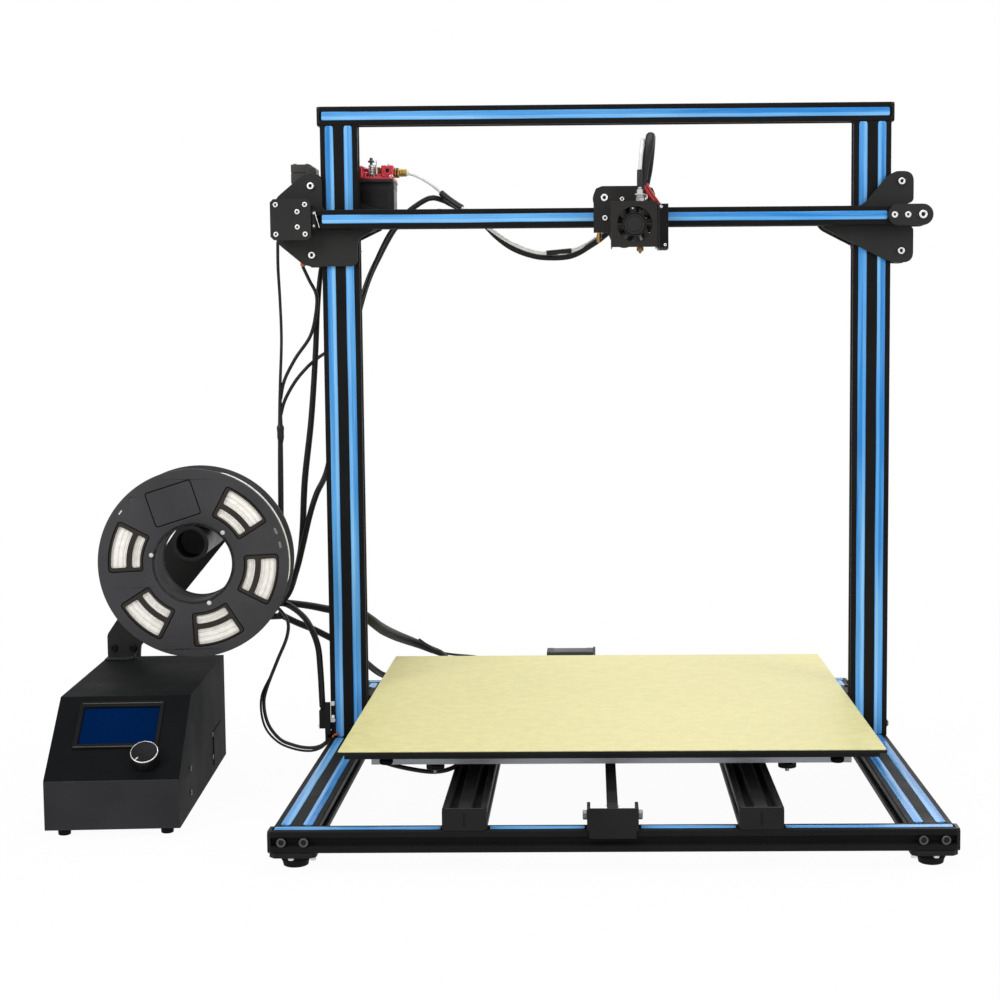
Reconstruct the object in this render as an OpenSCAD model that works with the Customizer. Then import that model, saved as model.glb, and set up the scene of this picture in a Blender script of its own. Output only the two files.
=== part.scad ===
// Large desktop filament printer: a slotted aluminium frame with a moving bed, a gantry on two lead screws,
// a belt-driven carriage with a fan-cooled hot end, and a separate control box that carries the spool.
// Axes: X to the right, Y to the back, Z up. The origin is on the table, under the middle of the base frame.

/* [Frame] */
// width over the side rails
frame_w = 610; // [580:1:640]
// depth over the front and rear bars
frame_l = 720; // [680:1:760]
// height of the frame's underside above the table
foot_h = 16; // [12:0.5:24]
// underside of the top beam above the table
beam_z = 700; // [660:1:740]
// front face of the posts, from the middle of the base
post_y = 22; // [0:1:60]
// middle of each bed rail, from the centre line
rail_x = 132; // [100:1:170]

/* [Bed] */
// side of the square bed
bed_w = 510; // [480:1:515]
// middle of the bed, front to back
bed_y = -31; // [-60:1:0]
// top of the bed surface
bed_z = 91; // [85:0.5:100]
// travel of the bed each way
bed_travel = 250; // [200:5:255]

/* [Gantry] */
// height of the cross beam's middle
beam_mid = 599; // [560:1:620]
// front face of the cross beam
xbeam_y = -4; // [-10:0.5:0]
// height of a gantry wheel's axle above or below the cross beam's middle
wheel_dz = 36.6; // [30:0.1:40]
// lead screw axis behind the post face
screw_dy = 44; // [40:1:60]

/* [Carriage] */
// middle of the carriage plate
car_x = 19.4; // [0:0.1:40]
// hot end axis, left to right
hot_x = 35.2; // [20:0.1:45]
// hot end axis, front to back
hot_y = -36; // [-45:0.5:-30]
// height of the nozzle's tip
tip_z = 559; // [555:0.5:565]

/* [Control box] */
// middle of the box's front edge, left to right
box_x = -476; // [-500:1:-440]
// front edge of the box
box_y = -248; // [-260:1:-200]
// turn of the box on the table
box_turn = 3.4; // [0:0.1:10]
// width of the box
box_w = 128; // [120:1:140]
// depth of the box
box_l = 312; // [280:1:330]
// height of the box's top above the table
box_h = 121; // [110:1:130]

/* [Spool] */
// radius of the spool's flanges
spool_r = 98.5; // [90:0.5:100]
// height of the spool's axis
spool_z = 241.6; // [230:0.2:260]
// width over both flanges
spool_t = 56; // [40:1:70]

/* [Hidden] */
hw = frame_w / 2;
hl = frame_l / 2;
p = 20;
zf = foot_h;
zt = zf + p;
post_c = post_y + p / 2;
axle_off = 9.8;
axle_r = 2.5;
bore_r = 2.55;
wheel_r = 12.2;
wheel_w = 10.2;
strip_w = 9.2;
plate_t = 3;
front_plate_y = post_y - 6;
back_plate_y = post_y + 23;
screw_x = hw - p;
screw_y = post_y + screw_dy;
xmid_y = xbeam_y + p / 2;
xpul_x = -333.5;
xidl_x = 333.5;
pul_r = 6.1;
belt_t = 1.4;
xw_up = beam_mid + p / 2 + axle_off;
xw_dn = beam_mid - p / 2 - axle_off;
yidl_y = -348;
yidl_z = 47;
ymot_y = 401;
ymot_z = 46;
yw_dy = 60;
member_y = 204;
knob_x = 168;
knob_lx = 30.2;
knob_ly = 22;
spool_lx = 55.4;
spool_ly = 172;
hub_r = 39.6;
rod_r = 17.4;
rod_dz = 22.1;
slope_y = 82;
slope_z0 = 56;
slope_a = atan2(box_h - slope_z0, slope_y);
ext_x = -251;
ext_y = 73;
ext_z = 642;
blow_x = 58.7;
blow_y = -36;
blow_z = 586;
fan_x = 29.2;
fan_z = 588.5;
cover_y = -54;
cover_d = 42;

// slot of a 20 mm profile cell, facing +Y
module slot2d() {
    polygon([[-4.6, 10.1], [-4.6, 10], [-3.1, 8.2], [-5.5, 8.2], [-5.5, 6.6], [-2.8, 3.9],
        [2.8, 3.9], [5.5, 6.6], [5.5, 8.2], [3.1, 8.2], [4.6, 10], [4.6, 10.1]]);
}

module round_square(w, h, r) {
    polygon([[-w / 2 + r, -h / 2], [w / 2 - r, -h / 2], [w / 2, -h / 2 + r], [w / 2, h / 2 - r],
        [w / 2 - r, h / 2], [-w / 2 + r, h / 2], [-w / 2, h / 2 - r], [-w / 2, -h / 2 + r]]);
}

// single profile, from the origin along +Z
module profile20(len) {
    linear_extrude(len) difference() {
        round_square(p, p, 0.8);
        for (a = [0:90:270]) rotate(a) slot2d();
        circle(r = 2.1, $fn = 24);
    }
}

// double profile, 40 along X, from the origin along +Z
module profile40(len) {
    linear_extrude(len) difference() {
        round_square(2 * p, p, 0.8);
        for (x = [-10, 10]) translate([x, 0]) {
            slot2d();
            rotate(180) slot2d();
            circle(r = 2.1, $fn = 24);
        }
        translate([10, 0]) rotate(-90) slot2d();
        translate([-10, 0]) rotate(90) slot2d();
        square([5, 11], center = true);
    }
}

module along_x(len) {
    translate([-len / 2, 0, 0]) rotate([90, 0, 90]) children();
}

module along_y(len) {
    translate([0, len / 2, 0]) rotate([90, 0, 0]) children();
}

// slim cover strip, face up, centred on the origin, along Y
module strip(len) {
    translate([0, len / 2, 0]) rotate([90, 0, 0]) linear_extrude(len)
        polygon([[-strip_w / 2 + 0.9, -0.8], [strip_w / 2 - 0.9, -0.8], [strip_w / 2 - 0.1, 0],
            [strip_w / 2, 0.3], [strip_w / 2 - 0.8, 0.7], [-strip_w / 2 + 0.8, 0.7], [-strip_w / 2, 0.3],
            [-strip_w / 2 + 0.1, 0]]);
}

// stepper motor, shaft along +Z, face at the origin
module stepper(len, shaft, w = 42) {
    translate([0, 0, -len]) linear_extrude(len) round_square(w, w, 4);
    cylinder(r = 11, h = 2, $fn = 48);
    cylinder(r = 2.5, h = shaft, $fn = 32);
}

// wheel with a V rim, axis along Z, centred
module v_wheel() {
    color("#1d1d1d") rotate_extrude($fn = 64) polygon([[bore_r, -wheel_w / 2], [9, -wheel_w / 2],
        [11.9, -2.6], [wheel_r, -2.2], [wheel_r, 2.2], [11.9, 2.6], [9, wheel_w / 2],
        [bore_r, wheel_w / 2]]);
}

// toothed pulley, axis along Z, centred, with a bore for its shaft
module pulley(w) {
    difference() {
        union() {
            cylinder(r = pul_r, h = w, center = true, $fn = 40);
            for (s = [-1, 1]) translate([0, 0, s * (w / 2 - 0.6)])
                cylinder(r = 8.2, h = 1.2, center = true, $fn = 48);
            translate([0, 0, w / 2]) cylinder(r = 8.2, h = 4, $fn = 48);
        }
        cylinder(r = bore_r, h = 3 * w, center = true, $fn = 32);
    }
}

// closed flat belt round two pulleys in the XY plane
module belt(x0, y0, x1, y1, w) {
    linear_extrude(w, center = true) difference() {
        hull() {
            translate([x0, y0]) circle(r = pul_r + 0.05 + belt_t, $fn = 48);
            translate([x1, y1]) circle(r = pul_r + 0.05 + belt_t, $fn = 48);
        }
        hull() {
            translate([x0, y0]) circle(r = pul_r + 0.05, $fn = 48);
            translate([x1, y1]) circle(r = pul_r + 0.05, $fn = 48);
        }
    }
}

// round cable through a list of points
module cable(pts, r, n = 10) {
    for (i = [0:len(pts) - 2]) {
        d = pts[i + 1] - pts[i];
        l = norm(d);
        translate(pts[i]) rotate([0, acos(d[2] / l), atan2(d[1], d[0])]) cylinder(r = r, h = l, $fn = n);
    }
    for (i = [1:len(pts) - 2]) translate(pts[i]) sphere(r = r, $fn = n);
}

// children placed in the control box's own frame
module in_box() {
    translate([box_x, box_y, 0]) rotate([0, 0, box_turn]) children();
}

// children placed on the sloped panel, Z out of the panel, Y up the slope
module on_slope() {
    in_box() translate([0, 0, slope_z0]) rotate([slope_a, 0, 0]) children();
}

module frame_profiles() {
    color("#2b2b2b") {
        for (s = [-1, 1]) translate([0, s * (hl - p / 2), zf + p / 2]) along_x(frame_w) profile20(frame_w);
        translate([0, post_c, beam_z + p / 2]) along_x(frame_w) profile20(frame_w);
        for (s = [-1, 1]) {
            translate([s * (hw - p), 0, zf + p / 2]) along_y(frame_l - 2 * p - 0.1)
                profile40(frame_l - 2 * p - 0.1);
            translate([s * rail_x, 0, zt + p / 2 + 0.05]) along_y(frame_l - 5) profile40(frame_l - 5);
            translate([s * (hw - p), post_c, zt + 0.05]) profile40(beam_z - zt - 0.1);
        }
    }
}

// flat cap with cut corners, face towards +Z, back at the origin
module end_cap(w, h, t) {
    linear_extrude(t) round_square(w, h, 2);
}

module frame_plastics() {
    color("#161616") {
        for (s = [-1, 1]) {
            translate([s * hw, post_c, beam_z + p / 2]) rotate([0, s * 90, 0]) end_cap(p, p, 3);
            for (q = [-1, 1]) {
                translate([s * hw, q * (hl - p / 2), zf + p / 2]) rotate([0, s * 90, 0]) end_cap(p, p, 3);
                translate([s * rail_x, q * (hl - 2.5), zt + p / 2]) rotate([q * -90, 0, 0]) difference() {
                    end_cap(2 * p, p, 2.5);
                    translate([-1, -6, 1.5]) cube([2, 12, 2]);
                }
            }
        }
        // housing of the switch that stops the gantry at the bottom of its travel
        translate([-318, post_y + 1, 46]) cube([6.5, 10, 20]);
        // plug on top of that switch
        translate([-317, post_y + 4, 66]) cube([4.5, 4, 6]);
    }
}

module slot_covers() {
    color("#4a9bdb") {
        for (s = [-1, 1]) for (d = [-10, 10]) {
            translate([s * (hw - p) + d, 0, zt]) {
                translate([0, (-hl + p + post_y) / 2 + 1, 0]) strip(hl - p + post_y - 4);
                translate([0, (hl - p + post_y + 70) / 2, 0]) strip(hl - p - post_y - 80);
            }
            translate([s * (hw - p) + d, post_y, (zt + beam_z) / 2]) rotate([90, 0, 0])
                strip(beam_z - zt - 1.2);
        }
        translate([0, post_y, beam_z + p / 2]) rotate([90, 0, 0]) rotate([0, 0, 90]) strip(frame_w - 4);
        for (s = [-1, 1]) {
            // the front strip is cut where the belt tensioner sits
            if (s > 0) translate([0, hl - p / 2, zt]) rotate([0, 0, 90]) strip(2 * rail_x - 2 * p - 4);
            else for (q = [-1, 1]) translate([q * 67.5, -hl + p / 2, zt]) rotate([0, 0, 90]) strip(85);
            for (q = [-1, 1]) translate([q * (hw / 2 + rail_x / 2 + p / 2), s * (hl - p / 2), zt])
                rotate([0, 0, 90]) strip(hw - rail_x - p - 4);
        }
        translate([0, hl - p, zf + p / 2]) rotate([90, 0, 0]) rotate([0, 0, 90]) strip(frame_w - 4 * p - 6);
    }
}

// sheet plate lying flat, with a cylinder bite
module flat_plate(x, y, z, w, d, t) {
    translate([x - w / 2, y - d / 2, z]) cube([w, d, t]);
}

module frame_brackets() {
    color("#1b1b1b") {
        for (s = [-1, 1]) for (q = [-1, 1]) translate([s * (hw - 19), q * (hl - 21), zf - 4.5])
            difference() {
            linear_extrude(4.5) round_square(42, 42, 5);
            translate([0, 0, -1]) cylinder(r = 3.2, h = 7, $fn = 24);
        }
        // belt tensioner at the front
        difference() {
            union() {
                translate([-21, -hl - 2, zf + 13]) cube([42, 2, 27]);
                translate([-23, -hl - 2, zt]) cube([46, 30, 2]);
                for (s = [-1, 1]) translate([s * 21.5 - 1.5, -hl - 2, zt]) cube([3, 26, 19.5]);
            }
            translate([-30, yidl_y, yidl_z]) rotate([0, 90, 0]) cylinder(r = axle_r + 0.1, h = 60, $fn = 32);
        }
        // plate that carries the bed motor behind the rear bar
        difference() {
            union() {
                translate([-16, hl, zf]) cube([3, 64, 51]);
                translate([-16, hl, zf]) cube([60, 3, 20]);
            }
            translate([-24, ymot_y, ymot_z]) rotate([0, 90, 0]) cylinder(r = 11.3, h = 30, $fn = 48);
        }
        // angle brackets that carry the gantry motors
        for (s = [-1, 1]) difference() {
            union() {
                translate([s * screw_x - 22, post_y + p, zt]) cube([44, 2.9, 43]);
                translate([s * screw_x - 22, post_y + p, zt + 40]) cube([44, 46, 3]);
            }
            translate([s * screw_x, screw_y, zt + 30]) cylinder(r = 11.3, h = 30, $fn = 48);
        }
        // side plate under the gantry's lower switch
        translate([-311.5, post_y, 28]) cube([6.4, 20, 8]);
        translate([-311.5, post_y, 28]) cube([2.5, 20, 41.5]);
    }
}

module rubber_feet() {
    color("#141414") {
        for (s = [-1, 1]) for (q = [-1, 1]) translate([s * (hw - 19), q * (hl - 21), 0])
            cylinder(r1 = 11.4, r2 = 12.4, h = zf - 4.5, $fn = 48);
        in_box() for (x = [-49, 49]) for (y = [16, box_l - 20]) translate([x, y, 0])
            cylinder(r1 = 5.6, r2 = 6.4, h = 8, $fn = 32);
    }
}

module socket_screw(r, h) {
    difference() {
        cylinder(r = r, h = h, $fn = 24);
        translate([0, 0, h - 1.6]) cylinder(r = r * 0.5, h = 2, $fn = 6);
    }
}

module frame_screws() {
    color("#8e8f91") {
        for (s = [-1, 1]) for (x = [hw - 9.5, hw - 29.5]) for (q = [-1, 1])
            translate([s * x, q * (hl - 5), zf + p / 2]) rotate([q * -90, 0, 0]) socket_screw(2.9, 5.6);
        translate([-27, yidl_y, yidl_z]) rotate([0, 90, 0]) cylinder(r = axle_r, h = 54, $fn = 32);
        for (s = [-1, 1]) translate([s * 25, yidl_y, yidl_z]) rotate([0, 90, 0])
            difference() {
                cylinder(r = 4.4, h = 4, center = true, $fn = 6);
                cylinder(r = axle_r, h = 9, center = true, $fn = 32);
            }
        for (s = [-1, 1]) translate([s * 15.5, -hl - 2, zf + 34]) rotate([90, 0, 0]) socket_screw(3.4, 2.4);
        in_box() for (z = [26, 50]) translate([box_w / 2, 66, z]) rotate([0, 90, 0]) socket_screw(2.6, 1.4);
        in_box() for (x = [-56, -35]) translate([x, box_l - 8, box_h + 20]) rotate([90, 0, 0])
            socket_screw(3.2, 2.6);
    }
}

module frame_motors() {
    color("#2c2c2e") {
        translate([-16, ymot_y, ymot_z]) rotate([0, 90, 0]) stepper(60, 26);
        for (s = [-1, 1]) translate([s * screw_x, screw_y, zt + 40]) {
            translate([0, 0, -40]) linear_extrude(40) round_square(42, 42, 4);
            cylinder(r = 11, h = 3.5, $fn = 48);
        }
    }
}

module y_belt() {
    color("#101010") rotate([90, 0, 90]) belt(yidl_y, yidl_z, ymot_y, ymot_z, 9.6);
}

module link_cables() {
    color("#0e0e0e") {
        cable([[-524, 78, 80], [-534, 92, 105], [-532, 104, 141], [-505, 106, 168], [-470, 106, 182],
            [-425, 105, 186], [-385, 104, 182], [-340, 104, 173], [-290, 106, 165], [-264, 125, 150],
            [-264, 170, 134], [-245, 240, 112], [-216, 262, 95], [-196, 256, 84], [-186, 238, 76]], 5);
        cable([[-536, 78, 60], [-546, 92, 90], [-542, 104, 128], [-515, 104, 150], [-470, 104, 162],
            [-425, 104, 166], [-385, 104, 162], [-345, 104, 148], [-310, 104, 128], [-286, 108, 108],
            [-272, 130, 92], [-263, 160, 80], [-250, 178, 73]], 3.5);
    }
}

module box_shell() {
    color("#232324") in_box() difference() {
        translate([-box_w / 2, 0, 0]) rotate([90, 0, 90]) linear_extrude(box_w)
            polygon([[0, 8], [box_l, 8], [box_l, box_h], [slope_y, box_h], [0, slope_z0]]);
        translate([-box_w / 2 + 1.5, 0, 0]) rotate([90, 0, 90]) linear_extrude(box_w - 3)
            polygon([[2, 9.5], [box_l - 1.5, 9.5], [box_l - 1.5, box_h - 1.5], [slope_y, box_h - 1.5],
                [2, slope_z0]]);
        // window for the screen
        translate([0, 0, slope_z0]) rotate([slope_a, 0, 0]) {
            translate([-38, 43, -6]) cube([74, 46.5, 12]);
            translate([knob_lx, knob_ly, -6]) cylinder(r = 3.2, h = 12, $fn = 32);
        }
        // opening for the power switch
        translate([-30, box_l - 4, 30]) cube([20, 8, 14]);
    }
}

module lcd_screen() {
    color("#001c4b") on_slope() {
        translate([-37.8, 43.2, -3.4]) cube([73.6, 46.1, 3]);
    }
}

module spool_holder() {
    color("#1c1c1d") in_box() {
        difference() {
            translate([0, box_l - 6, 0]) rotate([90, 0, 0]) linear_extrude(2) polygon([[-63, box_h],
                [-63, box_h + 34], [33, 288], [78, 288], [84, 280], [80, 262], [-36, box_h + 1],
                    [-36, box_h]]);
            translate([spool_lx, box_l - 20, spool_z + rod_dz]) rotate([-90, 0, 0])
                cylinder(r = rod_r - 2, h = 40, $fn = 64);
        }
        translate([-63, box_l - 26, box_h]) cube([28, 18.5, 2]);
        // tube that the spool hangs on, with a low rim at its free end
        difference() {
            union() {
                translate([spool_lx, spool_ly - 14, spool_z + rod_dz]) rotate([-90, 0, 0])
                    cylinder(r = rod_r, h = box_l - 8 - spool_ly + 14, $fn = 96);
            }
            translate([spool_lx, spool_ly - 20, spool_z + rod_dz]) rotate([-90, 0, 0])
                cylinder(r = rod_r - 2, h = 150, $fn = 64);
        }
        translate([spool_lx, spool_ly - 17, spool_z + rod_dz]) rotate([-90, 0, 0]) difference() {
            cylinder(r = rod_r + 1, h = 3, $fn = 96);
            translate([0, 0, -1]) cylinder(r = 14, h = 5, $fn = 64);
        }
    }
}

// corner p between a and c as a short curve, at most r from the corner
function corner(a, p, c, r, n) = let (la = norm(a - p), lc = norm(c - p), q = min(r, la * 0.45, lc * 0.45))
    let (s = p + (a - p) / la * q, e = p + (c - p) / lc * q)
    [for (j = [0:n]) let (t = j / n) s * (1 - t) * (1 - t) + p * 2 * t * (1 - t) + e * t * t];

// outline with every corner softened
function soft(pts, r, n = 5) = let (k = len(pts))
    [for (i = [0:k - 1]) each corner(pts[(i + k - 1) % k], pts[i], pts[(i + 1) % k], r, n)];

module left_plate() {
    difference() {
        union() {
            polygon(soft([[-303, 609], [-303, 648.5], [-322, 648.5], [-354, 622], [-354, 577], [-322, 550.5],
                [-266, 550.5], [-266, 579], [-246, 589], [-246, 609]], 8));
        }
        for (s = [-1, 1]) translate([-hw - axle_off, beam_mid + s * wheel_dz]) circle(r = 2.6, $fn = 24);
        translate([-hw + 2 * p + axle_off, beam_mid]) circle(r = 2.6, $fn = 24);
        translate([xpul_x, beam_mid]) circle(r = 11.2, $fn = 48);
    }
}

module left_back_plate() {
    difference() {
        polygon([[-303, 625], [-303, 640], [-309, 647.4], [-320, 647.4], [-326.5, 642], [-326.5, 630],
            [-309, 622], [-309, 576], [-326.5, 568], [-326.5, 556], [-320, 550.5], [-272, 550.5],
            [-266, 556.5], [-266, 579], [-243, 590], [-243, 612], [-262, 618]]);
        for (s = [-1, 1]) translate([-hw - axle_off, beam_mid + s * wheel_dz]) circle(r = 2.6, $fn = 24);
        translate([-hw + 2 * p + axle_off, beam_mid]) circle(r = 2.6, $fn = 24);
    }
}

module right_plate() {
    difference() {
        polygon(soft([[228, 589], [249, 578], [304, 550], [328, 550], [328, 588], [318, 589], [318, 611],
            [328, 614], [328, 646.5], [304, 646.5], [273, 609], [228, 609]], 11));
        for (s = [-1, 1]) translate([hw + axle_off, beam_mid + s * wheel_dz]) circle(r = 2.6, $fn = 24);
        translate([hw - 2 * p - axle_off, beam_mid]) circle(r = 2.6, $fn = 24);
    }
}

// plate drawn in X and Z, front face at y, thickness t
module upright(y, t) {
    translate([0, y + t, 0]) rotate([90, 0, 0]) linear_extrude(t) children();
}

module gantry_plates() {
    color("#232323") {
        upright(front_plate_y, plate_t) left_plate();
        upright(front_plate_y, plate_t) right_plate();
        // rear plates, each with a ledge for its lead nut
        difference() {
            union() {
                upright(back_plate_y, plate_t) left_back_plate();
                translate([-screw_x - 15, back_plate_y + plate_t, 568]) cube([30, 32, 4]);
                translate([-306, back_plate_y, ext_z]) cube([76, 50, 3]);
                translate([-306, back_plate_y, 618]) cube([22, 3, 27]);
            }
            translate([-screw_x, screw_y, 560]) cylinder(r = 5.6, h = 100, $fn = 32);
            translate([ext_x, ext_y, ext_z - 1]) cylinder(r = 11.3, h = 6, $fn = 48);
        }
        difference() {
            union() {
                upright(back_plate_y, plate_t) right_plate();
                translate([screw_x - 15, back_plate_y + plate_t, 568]) cube([30, 32, 4]);
            }
            translate([screw_x, screw_y, 560]) cylinder(r = 5.6, h = 20, $fn = 32);
        }
        // cover in front of the belt pulley, on four posts
        difference() {
            union() {
                upright(xbeam_y - 3, 3) translate([xpul_x, beam_mid]) round_square(43, 43, 3.5);
                for (x = [-15.5, 15.5]) for (z = [-15.5, 15.5])
                    translate([xpul_x + x, front_plate_y, beam_mid + z])
                    rotate([90, 0, 0]) cylinder(r = 3.5, h = front_plate_y - xbeam_y + 0.5, $fn = 24);
            }
        }
        // rounded plates that hold the belt idler
        for (y = [xbeam_y - 4.6, xbeam_y + p]) difference() {
            upright(y, y < 0 ? 4 : 2.9) hull() {
                translate([308.5, beam_mid]) circle(r = 11.2, $fn = 48);
                translate([xidl_x, beam_mid]) circle(r = 11.2, $fn = 48);
            }
            translate([xidl_x, y - 1, beam_mid]) rotate([-90, 0, 0]) cylinder(r = 2.6, h = 8, $fn = 24);
        }
    }
}

module x_beam() {
    color("#2b2b2b") translate([9, xmid_y, beam_mid]) along_x(630) profile20(630);
}

module x_slot_cover() {
    color("#4a9bdb") translate([-2, xbeam_y, beam_mid]) rotate([90, 0, 0]) rotate([0, 0, 90]) strip(598);
}

// wheel axle along Y: head or flush end in front, collars on both sides of the wheel, nut behind
module gantry_axle(flush) {
    rotate([-90, 0, 0]) {
        translate([0, 0, flush ? front_plate_y : front_plate_y - 4])
            cylinder(r = axle_r, h = flush ? 36.5 : 40.5, $fn = 32);
        if (!flush) translate([0, 0, front_plate_y - 4]) socket_screw(4.4, 4);
        translate([0, 0, front_plate_y + plate_t]) cylinder(r = 4, h = 7.8, $fn = 32);
        translate([0, 0, post_c + wheel_w / 2 + 0.1]) cylinder(r = 4, h = 7.7, $fn = 32);
        translate([0, 0, back_plate_y + plate_t]) cylinder(r = 4.4, h = 3.8, $fn = 6);
    }
}

module gantry_bolts() {
    color("#b9bbbd") {
        for (s = [-1, 1]) {
            for (q = [-1, 1]) translate([s * (hw + axle_off), 0, beam_mid + q * wheel_dz])
                gantry_axle(false);
            translate([s * (hw - 2 * p - axle_off), 0, beam_mid]) gantry_axle(true);
        }
        for (x = [-15.5, 15.5]) for (z = [-15.5, 15.5]) translate([xpul_x + x, xbeam_y - 3, beam_mid + z])
            rotate([90, 0, 0]) socket_screw(3, 1.2);
        for (z = [-8, 8]) translate([-326.2, xbeam_y - 3, beam_mid + z]) rotate([90, 0, 0])
            socket_screw(3, 1.2);
        for (x = [304, 318]) translate([x, xbeam_y - 4.6, beam_mid]) rotate([90, 0, 0])
            socket_screw(3.2, 0.8);
        translate([xidl_x, xbeam_y - 4.6, beam_mid]) rotate([-90, 0, 0]) {
            cylinder(r = axle_r, h = 30.5, $fn = 32);
            translate([0, 0, -3.2]) cylinder(r = 4.4, h = 3.2, $fn = 32);
            translate([0, 0, 4.1]) cylinder(r = 4, h = 6, $fn = 32);
            translate([0, 0, 19]) cylinder(r = 4, h = 5.5, $fn = 32);
            translate([0, 0, 27.6]) cylinder(r = 4.4, h = 3.6, $fn = 6);
        }
    }
}

module gantry_motors() {
    color("#2c2c2e") {
        // the belt motor is narrow enough to pass the spool
        translate([xpul_x, front_plate_y + plate_t, beam_mid]) rotate([90, 0, 0]) stepper(40, 20.5, 36);
        translate([ext_x, ext_y, ext_z]) stepper(40, 21);
    }
}

module x_limit_switch() {
    color("#191919") {
        translate([-311.8, xbeam_y - 1, beam_mid - 10.5]) cube([5.6, 6.5, 20.5]);
        translate([-307.4, xbeam_y - 3.4, beam_mid + 7]) rotate([0, -16, 0]) translate([0, 0, -16.5])
            cube([0.5, 3, 16.5]);
        // filament sensor beside the extruder
        translate([-341, 48, 641]) difference() {
            cube([25, 47, 21]);
            translate([-1, 19, 12.4]) rotate([0, 90, 0]) cylinder(r = 1.4, h = 30, $fn = 24);
        }
        translate([-316, 48, 645]) cube([14, 20, 2]);
    }
}

module x_belt() {
    color("#101010") translate([0, xmid_y, 0]) rotate([90, 0, 0])
        belt(xpul_x, beam_mid, xidl_x, beam_mid, 6);
}

module extruder_block() {
    color("#b8283a") difference() {
        union() {
            translate([ext_x - 21, ext_y - 21, ext_z + 3]) linear_extrude(3.2) translate([21, 21])
                round_square(42, 42, 3);
            translate([ext_x + 7.5, ext_y - 21, ext_z + 3]) cube([13.5, 24, 15.5]);
            translate([ext_x - 17, ext_y - 21, ext_z + 3]) cube([8, 10, 15.5]);
            translate([ext_x - 20, ext_y + 9, ext_z + 3]) cube([34, 9, 15.5]);
        }
        translate([ext_x, ext_y, ext_z]) cylinder(r = 11.3, h = 7, $fn = 48);
        translate([ext_x - 30, ext_y - 7, ext_z + 11.4]) rotate([0, 90, 0])
            cylinder(r = 1.4, h = 70, $fn = 24);
    }
}

module brass_fittings() {
    color("#b8943f") {
        translate([ext_x + 21, ext_y - 7, ext_z + 11.4]) rotate([0, 90, 0]) difference() {
            union() {
                cylinder(r = 5.4, h = 6, $fn = 6);
                cylinder(r = 4.2, h = 11, $fn = 32);
            }
            translate([0, 0, -1]) cylinder(r = 2.1, h = 14, $fn = 24);
        }
        for (s = [-1, 1]) translate([s * screw_x, screw_y, 572]) difference() {
            union() {
                cylinder(r = 11, h = 3.5, $fn = 48);
                translate([0, 0, -4.6]) cylinder(r = 5.5, h = 12, $fn = 32);
            }
            translate([0, 0, -20]) cylinder(r = 4.06, h = 40, $fn = 48);
        }
    }
}

module bowden_tube() {
    color("#dadada") cable([[-219, 66, 653.4], [-190, 62, 648], [-150, 56, 630], [-110, 50, 596],
        [-88, 44, 560], [-66, 34, 543], [-30, 30, 532], [0, 34, 545], [24, 40, 590], [34, 36, 640],
            [38, 20, 668],
        [38, -4, 680], [36, -24, 668], [hot_x, hot_y, 640], [hot_x, hot_y, 628]], 2.0);
}

module hotend_harness() {
    color("#0e0e0e") cable([[-220, 84, 598], [-196, 76, 616], [-160, 64, 612], [-110, 56, 586],
        [-84, 50, 552], [-60, 42, 536], [-30, 38, 524], [4, 42, 540], [32, 47, 592], [42, 43, 640],
            [46, 22, 668],
        [46, -4, 678], [46, -24, 664], [45, -30, 640], [44, -30, 618]], 4.4);
}

module bed_carriage() {
    color("#9b9da0") {
        difference() {
            union() {
                for (s = [-1, 1]) translate([-228, bed_y + s * member_y - 10, 69]) cube([456, 20, 12]);
                for (s = [-1, 1]) translate([s * 80 - 10, bed_y - member_y, 69])
                    cube([20, 2 * member_y, 12]);
                translate([-180, bed_y - 80, 66]) cube([360, 160, 3.1]);
                translate([-10, bed_y - 20, 59]) cube([20, 40, 8]);
                for (s = [-1, 1]) for (q = [-1, 1]) {
                    translate([s * (rail_x + p + axle_off), bed_y + q * yw_dy, 51.2])
                        cylinder(r = 4, h = 15, $fn = 32);
                    translate([s * (rail_x + p + axle_off), bed_y + q * yw_dy, 37.4])
                        cylinder(r = axle_r, h = 20, $fn = 32);
                    translate([s * (rail_x + p + axle_off), bed_y + q * yw_dy, 37.4])
                        cylinder(r = 4.2, h = 3.4, $fn = 32);
                    translate([s * knob_x, bed_y + q * member_y, 59]) cylinder(r = 2, h = 25.9, $fn = 32);
                    translate([s * knob_x, bed_y + q * member_y, 81]) cylinder(r = 4.4, h = 3.95, $fn = 32);
                }
            }
            for (s = [-1, 1]) translate([-300, bed_y + s * member_y + s * 8, 73]) cube([600, 2.5, 4]);
        }
    }
}

module bed_plate() {
    color("#1a1a1b") {
        translate([-bed_w / 2, bed_y - bed_w / 2, 87.4]) cube([bed_w, bed_w, 2.4]);
        // insulation under the plate, hollow round the four adjusting studs
        difference() {
            translate([-bed_w / 2 + 6, bed_y - bed_w / 2 + 6, 82.4]) cube([bed_w - 12, bed_w - 12, 5.1]);
            for (s = [-1, 1]) for (q = [-1, 1]) translate([s * knob_x, bed_y + q * member_y, 82])
                cylinder(r = 4.6, h = 3, $fn = 32);
        }
    }
}

module bed_surface() {
    color("#e6e0a4") translate([-bed_w / 2 + 0.5, bed_y - bed_w / 2 + 0.5, 89.8])
        cube([bed_w - 1, bed_w - 1, bed_z - 89.8]);
}

module carriage_plate() {
    color("#1e1e1e") upright(-10.5, plate_t) difference() {
        polygon([[-13, 582.4], [-13, 622], [-10.4, 628.4], [-4, 631], [43, 631], [49.4, 628.4],
            [52, 622], [52, 582.4],
            [38, 582.4], [32, 569], [7, 569], [2, 582.4]]);
        for (s = [-1, 1]) translate([car_x + s * 20.9, xw_up]) circle(r = 2.6, $fn = 24);
        translate([car_x, xw_dn]) circle(r = 2.6, $fn = 24);
    }
}

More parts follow.
